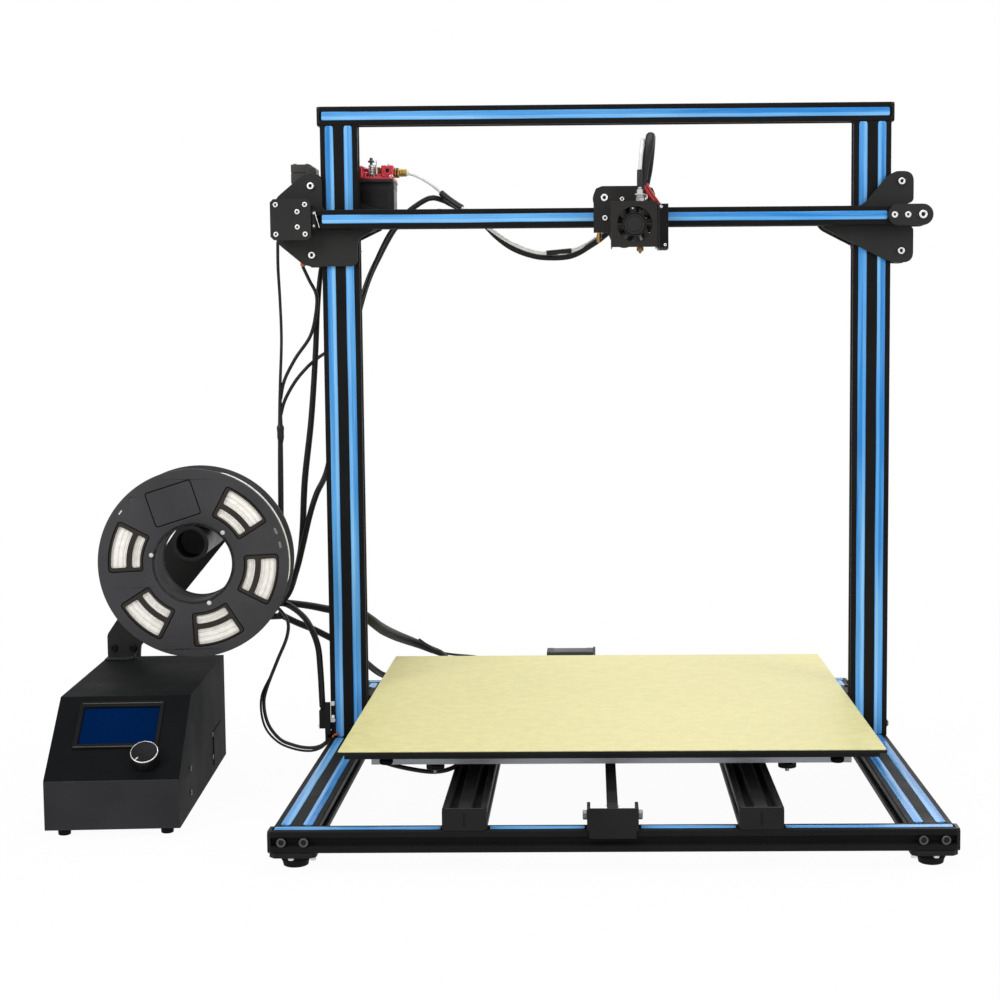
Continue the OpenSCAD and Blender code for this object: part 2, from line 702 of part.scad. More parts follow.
module fan_cover() {
    color("#252525") {
        // sheet cover open at the back, with a round fan opening in front
        difference() {
            translate([5, cover_y, 565]) cube([48, cover_d, 47]);
            translate([6.2, cover_y + 1.2, 564]) cube([45.6, cover_d, 46.8]);
            translate([fan_x, cover_y - 1, fan_z]) rotate([-90, 0, 0]) cylinder(r = 18.6, h = 4, $fn = 64);
            translate([hot_x, hot_y, 600]) cylinder(r = 6.6, h = 20, $fn = 32);
        }
        // fan frame with its centre spider
        difference() {
            translate([9.4, cover_y + 1.2, fan_z - 19.8]) cube([39.6, 10, 39.6]);
            translate([fan_x, cover_y, fan_z]) rotate([-90, 0, 0]) cylinder(r = 18.8, h = 8.9, $fn = 64);
            for (a = [45:90:315]) translate([fan_x, cover_y + 5, fan_z]) rotate([-90, a, 0])
                linear_extrude(10) polygon([[3, 9], [-3, 9], [-8, 16.5], [0, 18.4], [8, 16.5]]);
        }
        translate([fan_x, cover_y + 3.4, fan_z]) rotate([-90, 0, 0]) cylinder(r = 1.5, h = 6.6, $fn = 32);
        // side blower housing with an inlet on its outer face
        difference() {
            translate([53.5, blow_y - 19, 563]) cube([10.4, 38, 46]);
            translate([54.9, blow_y, blow_z]) rotate([0, 90, 0]) cylinder(r = 17.4, h = 7.6, $fn = 64);
            translate([58, blow_y, blow_z]) rotate([0, 90, 0]) cylinder(r = 12.4, h = 8, $fn = 64);
            translate([54.9, blow_y - 16, 560]) cube([7.6, 20, 20]);
        }
        translate([54, blow_y, blow_z]) rotate([0, 90, 0]) cylinder(r = 1.5, h = 8, $fn = 32);
    }
}

module hotend_metalwork() {
    color("#b5b7ba") {
        // finned heat sink, throat and heater block on one axis
        translate([hot_x, hot_y, 0]) {
            translate([0, 0, 584]) cylinder(r = 4, h = 28, $fn = 32);
            for (z = [586:3:607]) translate([-8, -3, z]) cube([16, 14.5, 1.4]);
            translate([-8, 8.5, 582]) cube([16, 3, 28]);
            translate([0, 0, 577]) cylinder(r = 2.9, h = 8, $fn = 32);
            translate([-8, -6, 567.4]) cube([16, 16, 10]);
            translate([0, 0, 612]) cylinder(r = 4.6, h = 6, $fn = 6);
            translate([0, 0, 618]) cylinder(r = 3.6, h = 3, $fn = 32);
            translate([0, 0, 621]) cylinder(r = 5, h = 1.4, $fn = 32);
            translate([0, 0, 622.4]) cylinder(r = 3, h = 3, $fn = 32);
            translate([-8, 8.5, 590]) cube([16, hot_y * -1 - 10.5 - 8.5, 12]);
        }
        for (s = [-1, 1]) translate([car_x + s * 20.9, 0, xw_up]) carriage_axle();
        translate([car_x, 0, xw_dn]) carriage_axle();
        translate([-0.8, -10.5, beam_mid - 1.3]) rotate([90, 0, 0]) socket_screw(2.8, 1.6);
        translate([17.2, -10.5, beam_mid + 18.3]) rotate([90, 0, 0]) socket_screw(2.2, 1.6);
    }
}

module carriage_axle() {
    rotate([-90, 0, 0]) {
        translate([0, 0, -13]) socket_screw(4.4, 2.5);
        translate([0, 0, -12]) cylinder(r = axle_r, h = 26.5, $fn = 32);
        translate([0, 0, -7.5]) cylinder(r = 4, h = xmid_y - wheel_w / 2 + 7.4, $fn = 32);
        translate([0, 0, xmid_y + wheel_w / 2 + 0.1]) cylinder(r = 4, h = 3.2, $fn = 6);
    }
}

module nozzle() {
    color("#b8943f") {
        translate([hot_x, hot_y, tip_z]) {
            cylinder(r1 = 0.7, r2 = 2.6, h = 2.6, $fn = 32);
            translate([0, 0, 2.6]) cylinder(r = 3.6, h = 3.8, $fn = 6);
            translate([0, 0, 6.4]) cylinder(r = 2.9, h = 2, $fn = 32);
        }
        translate([-7.2, -9, 572.4]) cylinder(r = 2.6, h = 10, $fn = 24);
    }
}

module lead_screw(s) {
    color("#c2c4c7") {
        translate([s * screw_x, screw_y, zt + 48]) cylinder(r = 4, h = beam_z - 12 - zt - 48, $fn = 48);
        translate([s * screw_x, screw_y, zt + 44.5]) cylinder(r = 9.5, h = 19, $fn = 48);
    }
}

// wheel placed with its axle along Y
module wheel_y(x, y, z) {
    translate([x, y, z]) rotate([90, 0, 0]) v_wheel();
}

module z_wheel_l1() {
    wheel_y(-hw - axle_off, post_c, beam_mid + wheel_dz);
}

module z_wheel_l2() {
    wheel_y(-hw - axle_off, post_c, beam_mid - wheel_dz);
}

module z_wheel_l3() {
    wheel_y(-hw + 2 * p + axle_off, post_c, beam_mid);
}

module z_wheel_r1() {
    wheel_y(hw + axle_off, post_c, beam_mid + wheel_dz);
}

module z_wheel_r2() {
    wheel_y(hw + axle_off, post_c, beam_mid - wheel_dz);
}

module z_wheel_r3() {
    wheel_y(hw - 2 * p - axle_off, post_c, beam_mid);
}

module x_wheel_1() {
    wheel_y(car_x - 20.9, xmid_y, xw_up);
}

module x_wheel_2() {
    wheel_y(car_x + 20.9, xmid_y, xw_up);
}

module x_wheel_3() {
    wheel_y(car_x, xmid_y, xw_dn);
}

module y_wheel(s, q) {
    translate([s * (rail_x + p + axle_off), bed_y + q * yw_dy, zt + p / 2]) v_wheel();
}

module y_wheel_1() {
    y_wheel(-1, -1);
}

module y_wheel_2() {
    y_wheel(-1, 1);
}

module y_wheel_3() {
    y_wheel(1, -1);
}

module y_wheel_4() {
    y_wheel(1, 1);
}

module lead_screw_l() {
    lead_screw(-1);
}

module lead_screw_r() {
    lead_screw(1);
}

module x_pulley() {
    color("#c9cacc") translate([xpul_x, xmid_y, beam_mid]) rotate([90, 0, 0]) pulley(8.6);
}

// smooth idler, axis along Z, centred
module idler(w) {
    difference() {
        union() {
            cylinder(r = pul_r, h = w, center = true, $fn = 40);
            for (s = [-1, 1]) translate([0, 0, s * (w / 2 - 0.5)])
                cylinder(r = 8.6, h = 1, center = true, $fn = 48);
        }
        cylinder(r = bore_r, h = 3 * w, center = true, $fn = 32);
    }
}

module x_idler() {
    color("#c9cacc") translate([xidl_x, xmid_y, beam_mid]) rotate([90, 0, 0]) idler(8.6);
}

module y_pulley() {
    color("#c9cacc") translate([0, ymot_y, ymot_z]) rotate([0, 90, 0]) pulley(12.4);
}

module y_idler() {
    color("#c9cacc") translate([0, yidl_y, yidl_z]) rotate([0, 90, 0]) idler(12.4);
}

module encoder_knob() {
    color("#17181a") on_slope() translate([knob_lx, knob_ly, 0]) {
        translate([0, 0, 0.6]) cylinder(r = 13.1, h = 13.6, $fn = 64);
        translate([0, 0, 14.2]) cylinder(r1 = 13.1, r2 = 12.3, h = 0.8, $fn = 64);
        translate([0, 0, -7]) cylinder(r = 3.1, h = 8, $fn = 32);
    }
}

// ring sector between two radii, in a plane, from angle a - w to a + w
module sector2d(r0, r1, a, w) {
    n = 6;
    polygon(concat([for (i = [0:n]) let (t = a - w + 2 * w * i / n) [r1 * cos(t), r1 * sin(t)]],
        [for (i = [n:-1:0]) let (t = a - w + 2 * w * i / n) [r0 * cos(t), r0 * sin(t)]]));
}

module flange() {
    linear_extrude(3) difference() {
        circle(r = spool_r, $fn = 96);
        circle(r = hub_r, $fn = 96);
        for (k = [0:4]) {
            sector2d(57, 64, 167.5 + 60 * k, 14.5);
            sector2d(69.5, 85.5, 167.5 + 60 * k, 15);
        }
    }
}

module at_spool() {
    in_box() translate([spool_lx, spool_ly, spool_z]) rotate([90, 0, 0]) children();
}

module spool_flanges() {
    color("#1f1f20") at_spool() {
        translate([0, 0, -3]) flange();
        translate([0, 0, -spool_t]) flange();
        translate([0, 0, -spool_t]) difference() {
            cylinder(r = hub_r + 3, h = spool_t, $fn = 96);
            translate([0, 0, -1]) cylinder(r = hub_r, h = spool_t + 2, $fn = 96);
        }
    }
}

module filament() {
    color("#e8e6de") at_spool() translate([0, 0, -spool_t + 3.05]) difference() {
        cylinder(r = 88, h = spool_t - 6.1, $fn = 96);
        translate([0, 0, -1]) cylinder(r = hub_r + 3.05, h = spool_t, $fn = 96);
    }
}

module level_knob(s, q) {
    color("#131313") translate([s * knob_x, bed_y + q * member_y, 62.6]) difference() {
        union() {
            cylinder(r = 8.7, h = 4.6, $fn = 32);
            cylinder(r = 5, h = 6.2, $fn = 32);
        }
        translate([0, 0, -1]) cylinder(r = 2.05, h = 10, $fn = 32);
    }
}

module level_knob_1() {
    level_knob(-1, -1);
}

module level_knob_2() {
    level_knob(1, -1);
}

module level_knob_3() {
    level_knob(-1, 1);
}

module level_knob_4() {
    level_knob(1, 1);
}

module power_rocker() {
    color("#101010") in_box() translate([-20, box_l - 2, 37]) rotate([0, 90, 0]) {
        linear_extrude(18, center = true) polygon([[-6.4, -1.4], [6.4, -1.4], [6.4, 2], [0, 3.4],
            [-6.4, 4.6]]);
        cylinder(r = 1.2, h = 19.4, center = true, $fn = 32);
    }
}

module fan_blades(n, r0, r1, h, t, a) {
    for (k = [0:n - 1]) rotate([0, 0, 360 * k / n]) translate([r0, 0, 0]) rotate([a, 0, 0])
        translate([0, -t / 2, -h / 2]) cube([r1 - r0, t, h]);
}

module hotend_fan() {
    color("#111111") translate([fan_x, cover_y + 4.2, fan_z]) rotate([90, 0, 0]) difference() {
        union() {
            translate([0, 0, -3.8]) cylinder(r = 11, h = 6.4, $fn = 48);
            intersection() {
                translate([0, 0, -0.8]) fan_blades(8, 9.5, 20, 7, 1, 50);
                translate([0, 0, -3.6]) cylinder(r = 18.1, h = 5.8, $fn = 64);
            }
        }
        translate([0, 0, -6]) cylinder(r = 1.56, h = 7.2, $fn = 32);
    }
}

module blower_wheel() {
    color("#111111") translate([58.4, blow_y, blow_z]) rotate([0, 90, 0]) difference() {
        union() {
            translate([0, 0, -3]) cylinder(r = 9, h = 5.4, $fn = 48);
            translate([0, 0, -3]) cylinder(r = 15.4, h = 0.9, $fn = 64);
            fan_blades(17, 12, 15.4, 5.8, 0.7, 0);
        }
        translate([0, 0, -6]) cylinder(r = 1.56, h = 14, $fn = 32);
    }
}

module drive_gear() {
    color("#c9cacc") translate([ext_x, ext_y, ext_z + 9]) difference() {
        cylinder(r = 5.5, h = 9, $fn = 32);
        translate([0, 0, -1]) cylinder(r = bore_r, h = 12, $fn = 32);
    }
}

frame_profiles();
frame_plastics();
slot_covers();
frame_brackets();
rubber_feet();
frame_screws();
frame_motors();
y_belt();
link_cables();
box_shell();
lcd_screen();
spool_holder();
gantry_plates();
x_beam();
x_slot_cover();
gantry_bolts();
gantry_motors();
x_limit_switch();
x_belt();
extruder_block();
brass_fittings();
bowden_tube();
hotend_harness();
bed_carriage();
bed_plate();
bed_surface();
carriage_plate();
fan_cover();
hotend_metalwork();
nozzle();
z_wheel_l1();
z_wheel_l2();
z_wheel_l3();
z_wheel_r1();
z_wheel_r2();
z_wheel_r3();
x_wheel_1();
x_wheel_2();
x_wheel_3();
y_wheel_1();
y_wheel_2();
y_wheel_3();
y_wheel_4();
lead_screw_l();
lead_screw_r();
x_pulley();
x_idler();
y_pulley();
y_idler();
encoder_knob();
spool_flanges();
filament();
level_knob_1();
level_knob_2();
level_knob_3();
level_knob_4();
power_rocker();
hotend_fan();
blower_wheel();
drive_gear();
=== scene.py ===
"""Looks of a large desktop filament printer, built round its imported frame.

Blender works in metres and the shape helpers in millimetres. X runs to the right, Y to the back and Z up,
from an origin on the table under the middle of the base frame.
"""

import math

import bpy
from mathutils import Matrix, Vector, noise
from mathutils.geometry import tessellate_polygon


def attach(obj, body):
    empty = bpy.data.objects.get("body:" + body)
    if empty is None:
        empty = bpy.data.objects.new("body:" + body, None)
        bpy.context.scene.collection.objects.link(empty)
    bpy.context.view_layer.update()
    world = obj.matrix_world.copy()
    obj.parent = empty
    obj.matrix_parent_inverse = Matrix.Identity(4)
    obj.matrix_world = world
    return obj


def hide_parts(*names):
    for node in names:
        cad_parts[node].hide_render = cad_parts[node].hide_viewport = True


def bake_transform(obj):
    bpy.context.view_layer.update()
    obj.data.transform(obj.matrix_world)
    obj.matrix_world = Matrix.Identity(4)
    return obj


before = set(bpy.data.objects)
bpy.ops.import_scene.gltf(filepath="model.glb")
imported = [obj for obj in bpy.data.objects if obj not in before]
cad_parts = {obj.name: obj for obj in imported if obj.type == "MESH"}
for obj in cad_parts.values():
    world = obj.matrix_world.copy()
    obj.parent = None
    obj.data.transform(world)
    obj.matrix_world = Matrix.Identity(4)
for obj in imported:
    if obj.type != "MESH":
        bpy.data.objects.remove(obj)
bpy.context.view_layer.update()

HERE = Matrix.Identity(4)


def move(x, y, z):
    """Move by x, y and z."""
    return Matrix.Translation((x, y, z))


def turn(axis, deg):
    """Turn about an axis, in degrees."""
    return Matrix.Rotation(math.radians(deg), 4, axis)


FRONT = turn("X", 90)  # shape's Z points to the front
BACK = turn("X", -90)
RIGHT = turn("Y", 90)
LEFT = turn("Y", -90)
SIDES = (-1, 1)
MM = 0.001

# Places that several pieces share
POST_X = 285  # middle of each post, from the middle of the base
SCREW_Y = 66  # lead screws and their motors, behind the posts
BEAM_Z = 599  # middle of the cross beam
PULLEY_X = 333.5  # pulleys at the ends of the cross beam
BELT_Y = 6  # its belt and its carriage wheels
BED_Y = -31  # middle of the bed
BED_BELT_Y, BED_BELT_Z, BED_MOTOR_Y = -348, 47, 401  # ends of the bed's belt
BED_WHEEL_X, KNOB_X, KNOB_DY = 161.8, 168, 204  # from the bed's middle
CARRIAGE_WHEELS = ((-1.5, 618.8), (40.3, 618.8), (19.4, 579.2))
OUTER_WHEEL_X, INNER_WHEEL_X, WHEEL_DZ = 314.8, 255.2, 36.6  # gantry wheels
EXTRUDER = move(-251, 73, 645)
HOT_END = move(35.2, -36, 0)  # axis of the nozzle
FAN_X, FAN_Z = 29.2, 588.5
BOX = move(-476, -248, 0) @ turn("Z", 3.4)
SLOPE = BOX @ move(0, 0, 56) @ turn("X", math.degrees(math.atan2(65, 82)))
KNOB = SLOPE @ move(30.2, 22, 0)
ROD_X, ROD_Z = 55.4, 263.7  # spool holder's tube, in the control box's own frame
SPOOL = BOX @ move(ROD_X, 172, 241.6) @ FRONT
SPOOL_R, HUB_R, SPOOL_T = 98.5, 39.6, 56
BOX_BACK = 312


# ---------------------------------------------------------------- materials
def rgb(code):
    """Linear colour from a #rrggbb code."""
    c = [int(code[i : i + 2], 16) / 255 for i in (1, 3, 5)]
    return tuple(x / 12.92 if x <= 0.04045 else ((x + 0.055) / 1.055) ** 2.4 for x in c) + (1.0,)


def shader(owner):
    """Empties the node tree of a material or world, and gives back the function that adds a node to it."""
    owner.use_nodes = True
    tree = owner.node_tree
    tree.nodes.clear()

    def node(kind, values=(), **props):
        """Adds one node; its inputs, by number or by name, take values or other nodes' outputs."""
        n = tree.nodes.new("ShaderNode" + kind)
        for k, v in props.items():
            setattr(n, k, v)
        for k, v in values.items() if isinstance(values, dict) else enumerate(values):
            if hasattr(v, "links"):
                tree.links.new(v, n.inputs[k])
            else:
                n.inputs[k].default_value = v
        return n

    return node


def surface(name, tone, tone2, rough, metal=0.0, bump=0.2, grain=1400, blotch=16, wear_and_glint=0.3,
            wear_and_glint_tone="#8a8a88", edge=0.0005, coat=0.0, stretch=(1, 1, 1), spec=0.5, rings=None,
            spread=0.14, emit=0.0, soft=0.14):
    """Node material: two tones in soft patches, grain in colour and height, uneven gloss and lighter edges.

    The lighter edges stand partly for wear and partly for a painted highlight. grain and blotch are noise
    scales per metre, edge is the width of the lighter edges in metres, and rings gives a centre, an axis, a
    pitch in millimetres and a depth for turned grooves.
    """
    m = bpy.data.materials.new(name)
    node = shader(m)

    def noise_tex(scale, detail):
        return node("TexNoise", {"Vector": at, "Scale": scale, "Detail": detail}).outputs[0]

    def ranged(*values):
        return node("MapRange", values).outputs[0]

    def maths(op, *values):
        return node("Math", values, operation=op).outputs[0]

    def vector(op, *values):
        return node("VectorMath", values, operation=op).outputs

    def mixed(fac, a, b, blend="MIX"):
        return node("Mix", {0: fac, 6: a, 7: b}, data_type="RGBA", blend_type=blend).outputs[2]

    coord = node("TexCoord").outputs["Object"]
    at = node("Mapping", {"Vector": coord, "Scale": stretch}).outputs[0]
    big, fine, mid = noise_tex(blotch, 5), noise_tex(grain, 2), noise_tex(blotch * 7, 3)
    bevel = node("Bevel", {"Radius": edge}, samples=4).outputs[0]
    flat = vector("DOT_PRODUCT", bevel, node("NewGeometry").outputs["Normal"])["Value"]
    # Edges lighten towards the wear tone: partly wear, partly a painted highlight along them
    edge_wear_and_glint = maths("MULTIPLY", ranged(flat, 0.985, 0.86, 0, wear_and_glint), ranged(mid, 0.38, 0.6, 0.25, 1))

    colour = mixed(ranged(big, 0.5 - soft, 0.5 + soft, 0, 1), rgb(tone), rgb(tone2))
    shade = ranged(fine, 0.3, 0.7, 0.86, 1.12)
    colour = mixed(0.6, colour, node("CombineColor", (shade, shade, shade)).outputs[0], "MULTIPLY")
    colour = mixed(edge_wear_and_glint, colour, rgb(wear_and_glint_tone))

    gloss = maths("ADD", ranged(big, 0.3, 0.7, rough - spread * 0.5, rough + spread * 0.5),
                  ranged(fine, 0.3, 0.7, -0.04, 0.05))
    gloss = maths("SUBTRACT", gloss, maths("MULTIPLY", edge_wear_and_glint, 0.25))

    look = {"Base Color": colour, "Roughness": gloss, "Metallic": metal, "Coat Weight": coat,
            "Coat Roughness": 0.12, "Specular IOR Level": spec}
    height = fine
    if rings:
        centre, axis, pitch, depth = rings
        sideways = vector("CROSS_PRODUCT", vector("SUBTRACT", coord, Vector(centre) * MM)[0], axis)[0]
        turns = maths("MULTIPLY", vector("LENGTH", sideways)["Value"], 2 * math.pi / pitch * 1000)
        height = maths("ADD", maths("MULTIPLY", maths("SINE", turns, 0), depth), fine)
        look.update({"Anisotropic": 0.85, "Tangent": sideways})
    if emit:
        look.update({"Emission Color": colour, "Emission Strength": emit})
    relief = {"Strength": bump, "Distance": 0.0003, "Height": height, "Normal": bevel}
    look["Normal"] = node("Bump", relief).outputs[0]
    node("OutputMaterial", (node("BsdfPrincipled", look).outputs[0],))
    return m


MATERIALS = {
    "frame": surface("frame_paint", "#121212", "#181818", 0.52, bump=0.25, grain=1600, wear_and_glint_tone="#444442",
                     wear_and_glint=0.4, spec=0.07),
    "sheet": surface("sheet_paint", "#242424", "#2b2b2a", 0.55, bump=0.35, grain=1300, wear_and_glint_tone="#4c4b49",
                     wear_and_glint=0.4, spec=0.16),
    "box": surface("box_paint", "#101112", "#151617", 0.6, bump=0.4, grain=1500, wear_and_glint_tone="#404244",
                   wear_and_glint=0.5, spec=0.025),
    "boxfront": surface("box_front_paint", "#262628", "#2c2c2e", 0.5, bump=0.4, grain=1500,
                        wear_and_glint_tone="#5a5b5c", wear_and_glint=0.5, spec=0.12),
    "plastic": surface("black_plastic", "#131313", "#191919", 0.42, bump=0.15, grain=900,
                       wear_and_glint_tone="#323232", spec=0.14),
    "bezel": surface("bezel_plastic", "#0c0c0c", "#111111", 0.4, bump=0.1, grain=900, wear_and_glint_tone="#2a2a2a",
                     spec=0.06),
    "groove": surface("groove_shadow", "#0b0a09", "#100f0d", 0.7, bump=0.1, grain=900, wear_and_glint=0.1,
                      wear_and_glint_tone="#1c1a18", spec=0.05),
    "cover": surface("cover_paint", "#242220", "#2a2826", 0.5, bump=0.3, grain=1500, wear_and_glint_tone="#4c4945",
                     wear_and_glint=0.4, spec=0.16),
    "fan": surface("fan_plastic", "#151515", "#1b1b1b", 0.36, bump=0.1, grain=700, wear_and_glint_tone="#3c3c3c",
                   wear_and_glint=0.5, spec=0.3),
    "rubber": surface("rubber", "#0c0c0c", "#111111", 0.7, bump=0.4, grain=1100, wear_and_glint_tone="#222222",
                      spec=0.1),
    "bracket": surface("bracket_paint", "#1a1a1a", "#212121", 0.55, bump=0.35, grain=1300,
                       wear_and_glint_tone="#444342", wear_and_glint=0.4, spec=0.1),
    "sensor": surface("sensor_case", "#3c3b39", "#464442", 0.5, bump=0.3, grain=900, wear_and_glint_tone="#6c6a66",
                      wear_and_glint=0.5, spec=0.2),
    "belt": surface("belt_rubber", "#0e0e0e", "#151515", 0.62, bump=0.4, grain=1800, wear_and_glint_tone="#2a2a2a",
                    spec=0.2),
    "cable": surface("cable_sleeve", "#0c0c0c", "#141414", 0.5, bump=0.8, grain=900, wear_and_glint_tone="#303030",
                     spec=0.25),
    "wire": surface("wire_jacket", "#0d0d0d", "#131313", 0.38, bump=0.1, grain=600, wear_and_glint_tone="#333333",
                    spec=0.3),
    "redwire": surface("red_wire", "#a01418", "#b81c1e", 0.35, bump=0.1, grain=600, wear_and_glint_tone="#d05050"),
    "orange": surface("orange_wire", "#c25a12", "#cf6a1c", 0.4, bump=0.1, grain=600, wear_and_glint_tone="#e08a48"),
    "steel": surface("steel", "#dedfe0", "#ebebea", 0.3, metal=1.0, bump=0.12, grain=1200,
                     wear_and_glint_tone="#ffffff", stretch=(1, 1, 4)),
    "blacksteel": surface("black_oxide", "#3c3c3d", "#505051", 0.36, metal=0.6, bump=0.12, grain=1200,
                          wear_and_glint_tone="#a6a6a8", wear_and_glint=0.9, edge=0.0004),
    "motor": surface("motor_paint", "#191919", "#222223", 0.45, metal=0.2, bump=0.3, grain=1300,
                     wear_and_glint_tone="#5c5d60", wear_and_glint=0.5, spec=0.2),
    "lamin": surface("laminations", "#161617", "#202021", 0.42, metal=0.3, bump=0.5, grain=500,
                     stretch=(0.05, 0.05, 6), wear_and_glint_tone="#5c5d60", wear_and_glint=0.5, spec=0.2),
    "cast": surface("cast_end", "#6e7072", "#808285", 0.42, metal=0.8, bump=0.35, grain=900,
                    wear_and_glint_tone="#b0b2b4"),
    "alu": surface("aluminium", "#8c8e91", "#a0a2a5", 0.36, metal=0.85, bump=0.15, grain=900,
                   stretch=(0.1, 1, 1), wear_and_glint_tone="#c8c9ca"),
    "red": surface("red_anodised", "#ae1c30", "#c62a3c", 0.32, metal=0.5, bump=0.15, grain=1300,
                   wear_and_glint_tone="#e8788a", wear_and_glint=0.7, coat=0.2),
    "brass": surface("brass", "#8f7038", "#a88a4a", 0.3, metal=0.9, bump=0.12, grain=1000,
                     wear_and_glint_tone="#d8bd78"),
    "nozzle": surface("nozzle_brass", "#8c6c44", "#9c7d52", 0.34, metal=0.8, bump=0.12, grain=1000,
                      wear_and_glint_tone="#c9ad7c"),
    "tube": surface("white_tube", "#dcdcda", "#e8e8e6", 0.3, bump=0.02, grain=90, wear_and_glint_tone="#ffffff",
                    coat=0.2),
    "core": surface("bed_edge", "#101010", "#171717", 0.4, bump=0.2, grain=1200, wear_and_glint_tone="#343432",
                    spec=0.15),
    "mat": surface("bed_mat", "#d3cb85", "#ddd594", 0.5, bump=0.12, grain=700, blotch=85, wear_and_glint=0.8,
                   wear_and_glint_tone="#f7f5d6", edge=0.0014),
    "spool": surface("spool_plastic", "#363638", "#3e3e40", 0.45, bump=0.12, grain=800, wear_and_glint_tone="#5c5c5f",
                     wear_and_glint=0.35, spec=0.2),
    "spoolin": surface("spool_recess", "#2b2825", "#332f2b", 0.5, bump=0.15, grain=800, wear_and_glint_tone="#4c4741",
                       wear_and_glint=0.35, spec=0.15),
    # Both filament whites glow a little: painted light that lifts them in the spool's shaded recesses
    "fil": surface("filament_white", "#ebe8e1", "#f1eee8", 0.42, bump=0.02, grain=200, blotch=30,
                   wear_and_glint_tone="#ffffff", emit=0.14),
    "fil2": surface("filament_shade", "#d6d2c9", "#dfdbd3", 0.42, bump=0.02, grain=200, blotch=30,
                    wear_and_glint_tone="#ffffff", emit=0.12),
    "wheel": surface("wheel_plastic", "#151515", "#1e1e1e", 0.42, bump=0.15, grain=700, wear_and_glint_tone="#3e3e40",
                     spec=0.3),
    "dome": surface("white_dome", "#c6c7c6", "#e0e1e0", 0.35, bump=0.1, grain=900, wear_and_glint_tone="#ffffff"),
    "knob": surface("knob_side", "#151516", "#1d1d1f", 0.34, metal=0.5, bump=0.1, grain=900,
                    wear_and_glint_tone="#6a6a6c"),
    "screen": surface("screen_glass", "#01173a", "#011a41", 0.3, bump=0.02, grain=400, blotch=8, wear_and_glint=0.0,
                      spec=0.0, emit=0.35),
    # Grey for thin lines and slot fills that stand for glints: a painted highlight
    "glint": surface("painted_glint_line", "#403e3c", "#545250", 0.3, bump=0.05, grain=600, wear_and_glint_tone="#8a8a88",
                     spec=0.2),
}

# The slot strips' painted sheen is drawn out along each strip, so each direction has its own three blues
# Main blue: that painted sheen; lighter blue: a painted highlight band; darker blue: painted shade at the
# slot
BLUES = (("mid", "#2480cc", "#62acea"), ("light", "#55a4e6", "#86c3f4"), ("painted_shade", "#1a62a4", "#2f7fc4"))
for ax, st in (("x", (0.035, 1, 1)), ("y", (1, 0.035, 1)), ("z", (1, 1, 0.035))):
    for kind, tone, tone2 in BLUES:
        MATERIALS[f"blue_{kind}_{ax}"] = surface(f"blue_strip_{kind}_{ax}", tone, tone2, 0.3, bump=0.06,
                                                 grain=500, blotch=105, wear_and_glint=0.2, wear_and_glint_tone="#9cc8f0",
                                                 coat=0.05, spread=0.1, stretch=st, soft=0.1, spec=0.3)
MATERIALS["knobtop"] = surface("knob_top", "#101012", "#18181a", 0.3, metal=0.9, bump=0.15, grain=900,
                               wear_and_glint_tone="#777779", rings=(KNOB.translation,
                                                           KNOB.col[2].to_3d().normalized(), 0.35, 0.5))

# Paint of the CAD nodes that stay visible; the others have a finished mesh in their place
KEEP = {
    "frame_profiles": "frame", "frame_plastics": "plastic", "frame_brackets": "bracket", "box_shell": "box",
    "spool_holder": "sheet", "gantry_plates": "sheet", "x_beam": "frame", "carriage_plate": "sheet",
    "fan_cover": "cover", "bed_carriage": "alu", "bed_plate": "core",
}
for node_name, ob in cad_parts.items():
    ob.data.materials.clear()
    ob.data.materials.append(MATERIALS[KEEP.get(node_name, "plastic")])


# ---------------------------------------------------------------- shapes
def ring(r, n=32, a0=0.0):
    """Circle, anticlockwise."""
    turns = [a0 + 2 * math.pi * i / n for i in range(n)]
    return [(r * math.cos(t), r * math.sin(t)) for t in turns]


def bore(r, n=32):
    """A ring that runs clockwise, as plate() wants its holes."""
    return ring(r, n)[::-1]


def rect(x0, x1, y0, y1, r=0.0, n=5):
    """Rectangle, anticlockwise, with round corners when r is given."""
    if r <= 0:
        return [(x0, y0), (x1, y0), (x1, y1), (x0, y1)]
    pts = []
    corners = ((x1 - r, y0 + r, -90), (x1 - r, y1 - r, 0), (x0 + r, y1 - r, 90), (x0 + r, y0 + r, 180))
    for cx, cy, a in corners:
        for i in range(n + 1):
            t = math.radians(a + 90 * i / n)
            pts.append((cx + r * math.cos(t), cy + r * math.sin(t)))
    return pts


def around(loop, i):
    """Point i of a closed outline between the points before and after it."""
    return Vector(loop[i - 1]), Vector(loop[i]), Vector(loop[(i + 1) % len(loop)])


def eased(before, p, after, r_before, r_after, n):
    """Smooth bend that replaces corner p."""
    s, e = p + (before - p).normalized() * r_before, p + (after - p).normalized() * r_after
    ts = [j / n for j in range(n + 1)]
    return [tuple(s * (1 - t) ** 2 + p * 2 * t * (1 - t) + e * t * t) for t in ts]


def rounded(corners, r, n=5):
    """Polygon, anticlockwise, with its corners rounded."""
    out = []
    for i in range(len(corners)):
        a, p, c = around(corners, i)
        q = min(r, (a - p).length * 0.45, (c - p).length * 0.45)
        out += eased(a, p, c, q, q, n)
    return out


def rounded_at(loop, chosen, r, n):
    """Outline with only the chosen points rounded."""
    out = []
    for i, point in enumerate(loop):
        if i in chosen:
            a, p, c = around(loop, i)
            out += eased(a, p, c, min(r, (a - p).length * 0.9), min(r, (c - p).length * 0.9), n)
        else:
            out.append(point)
    return out


def inset(loop, d):
    """Outline moved inwards by d."""
    out = []
    for i in range(len(loop)):
        a, p, c = around(loop, i)
        u, w = (p - a), (c - p)
        if u.length < 1e-9 or w.length < 1e-9:
            out.append(tuple(p))
            continue
        u.normalize()
        w.normalize()
        n1, n2 = Vector((-u.y, u.x)), Vector((-w.y, w.x))
        out.append(tuple(p + (n1 + n2) * (d / max(0.25, 1 + n1.dot(n2)))))
    return out


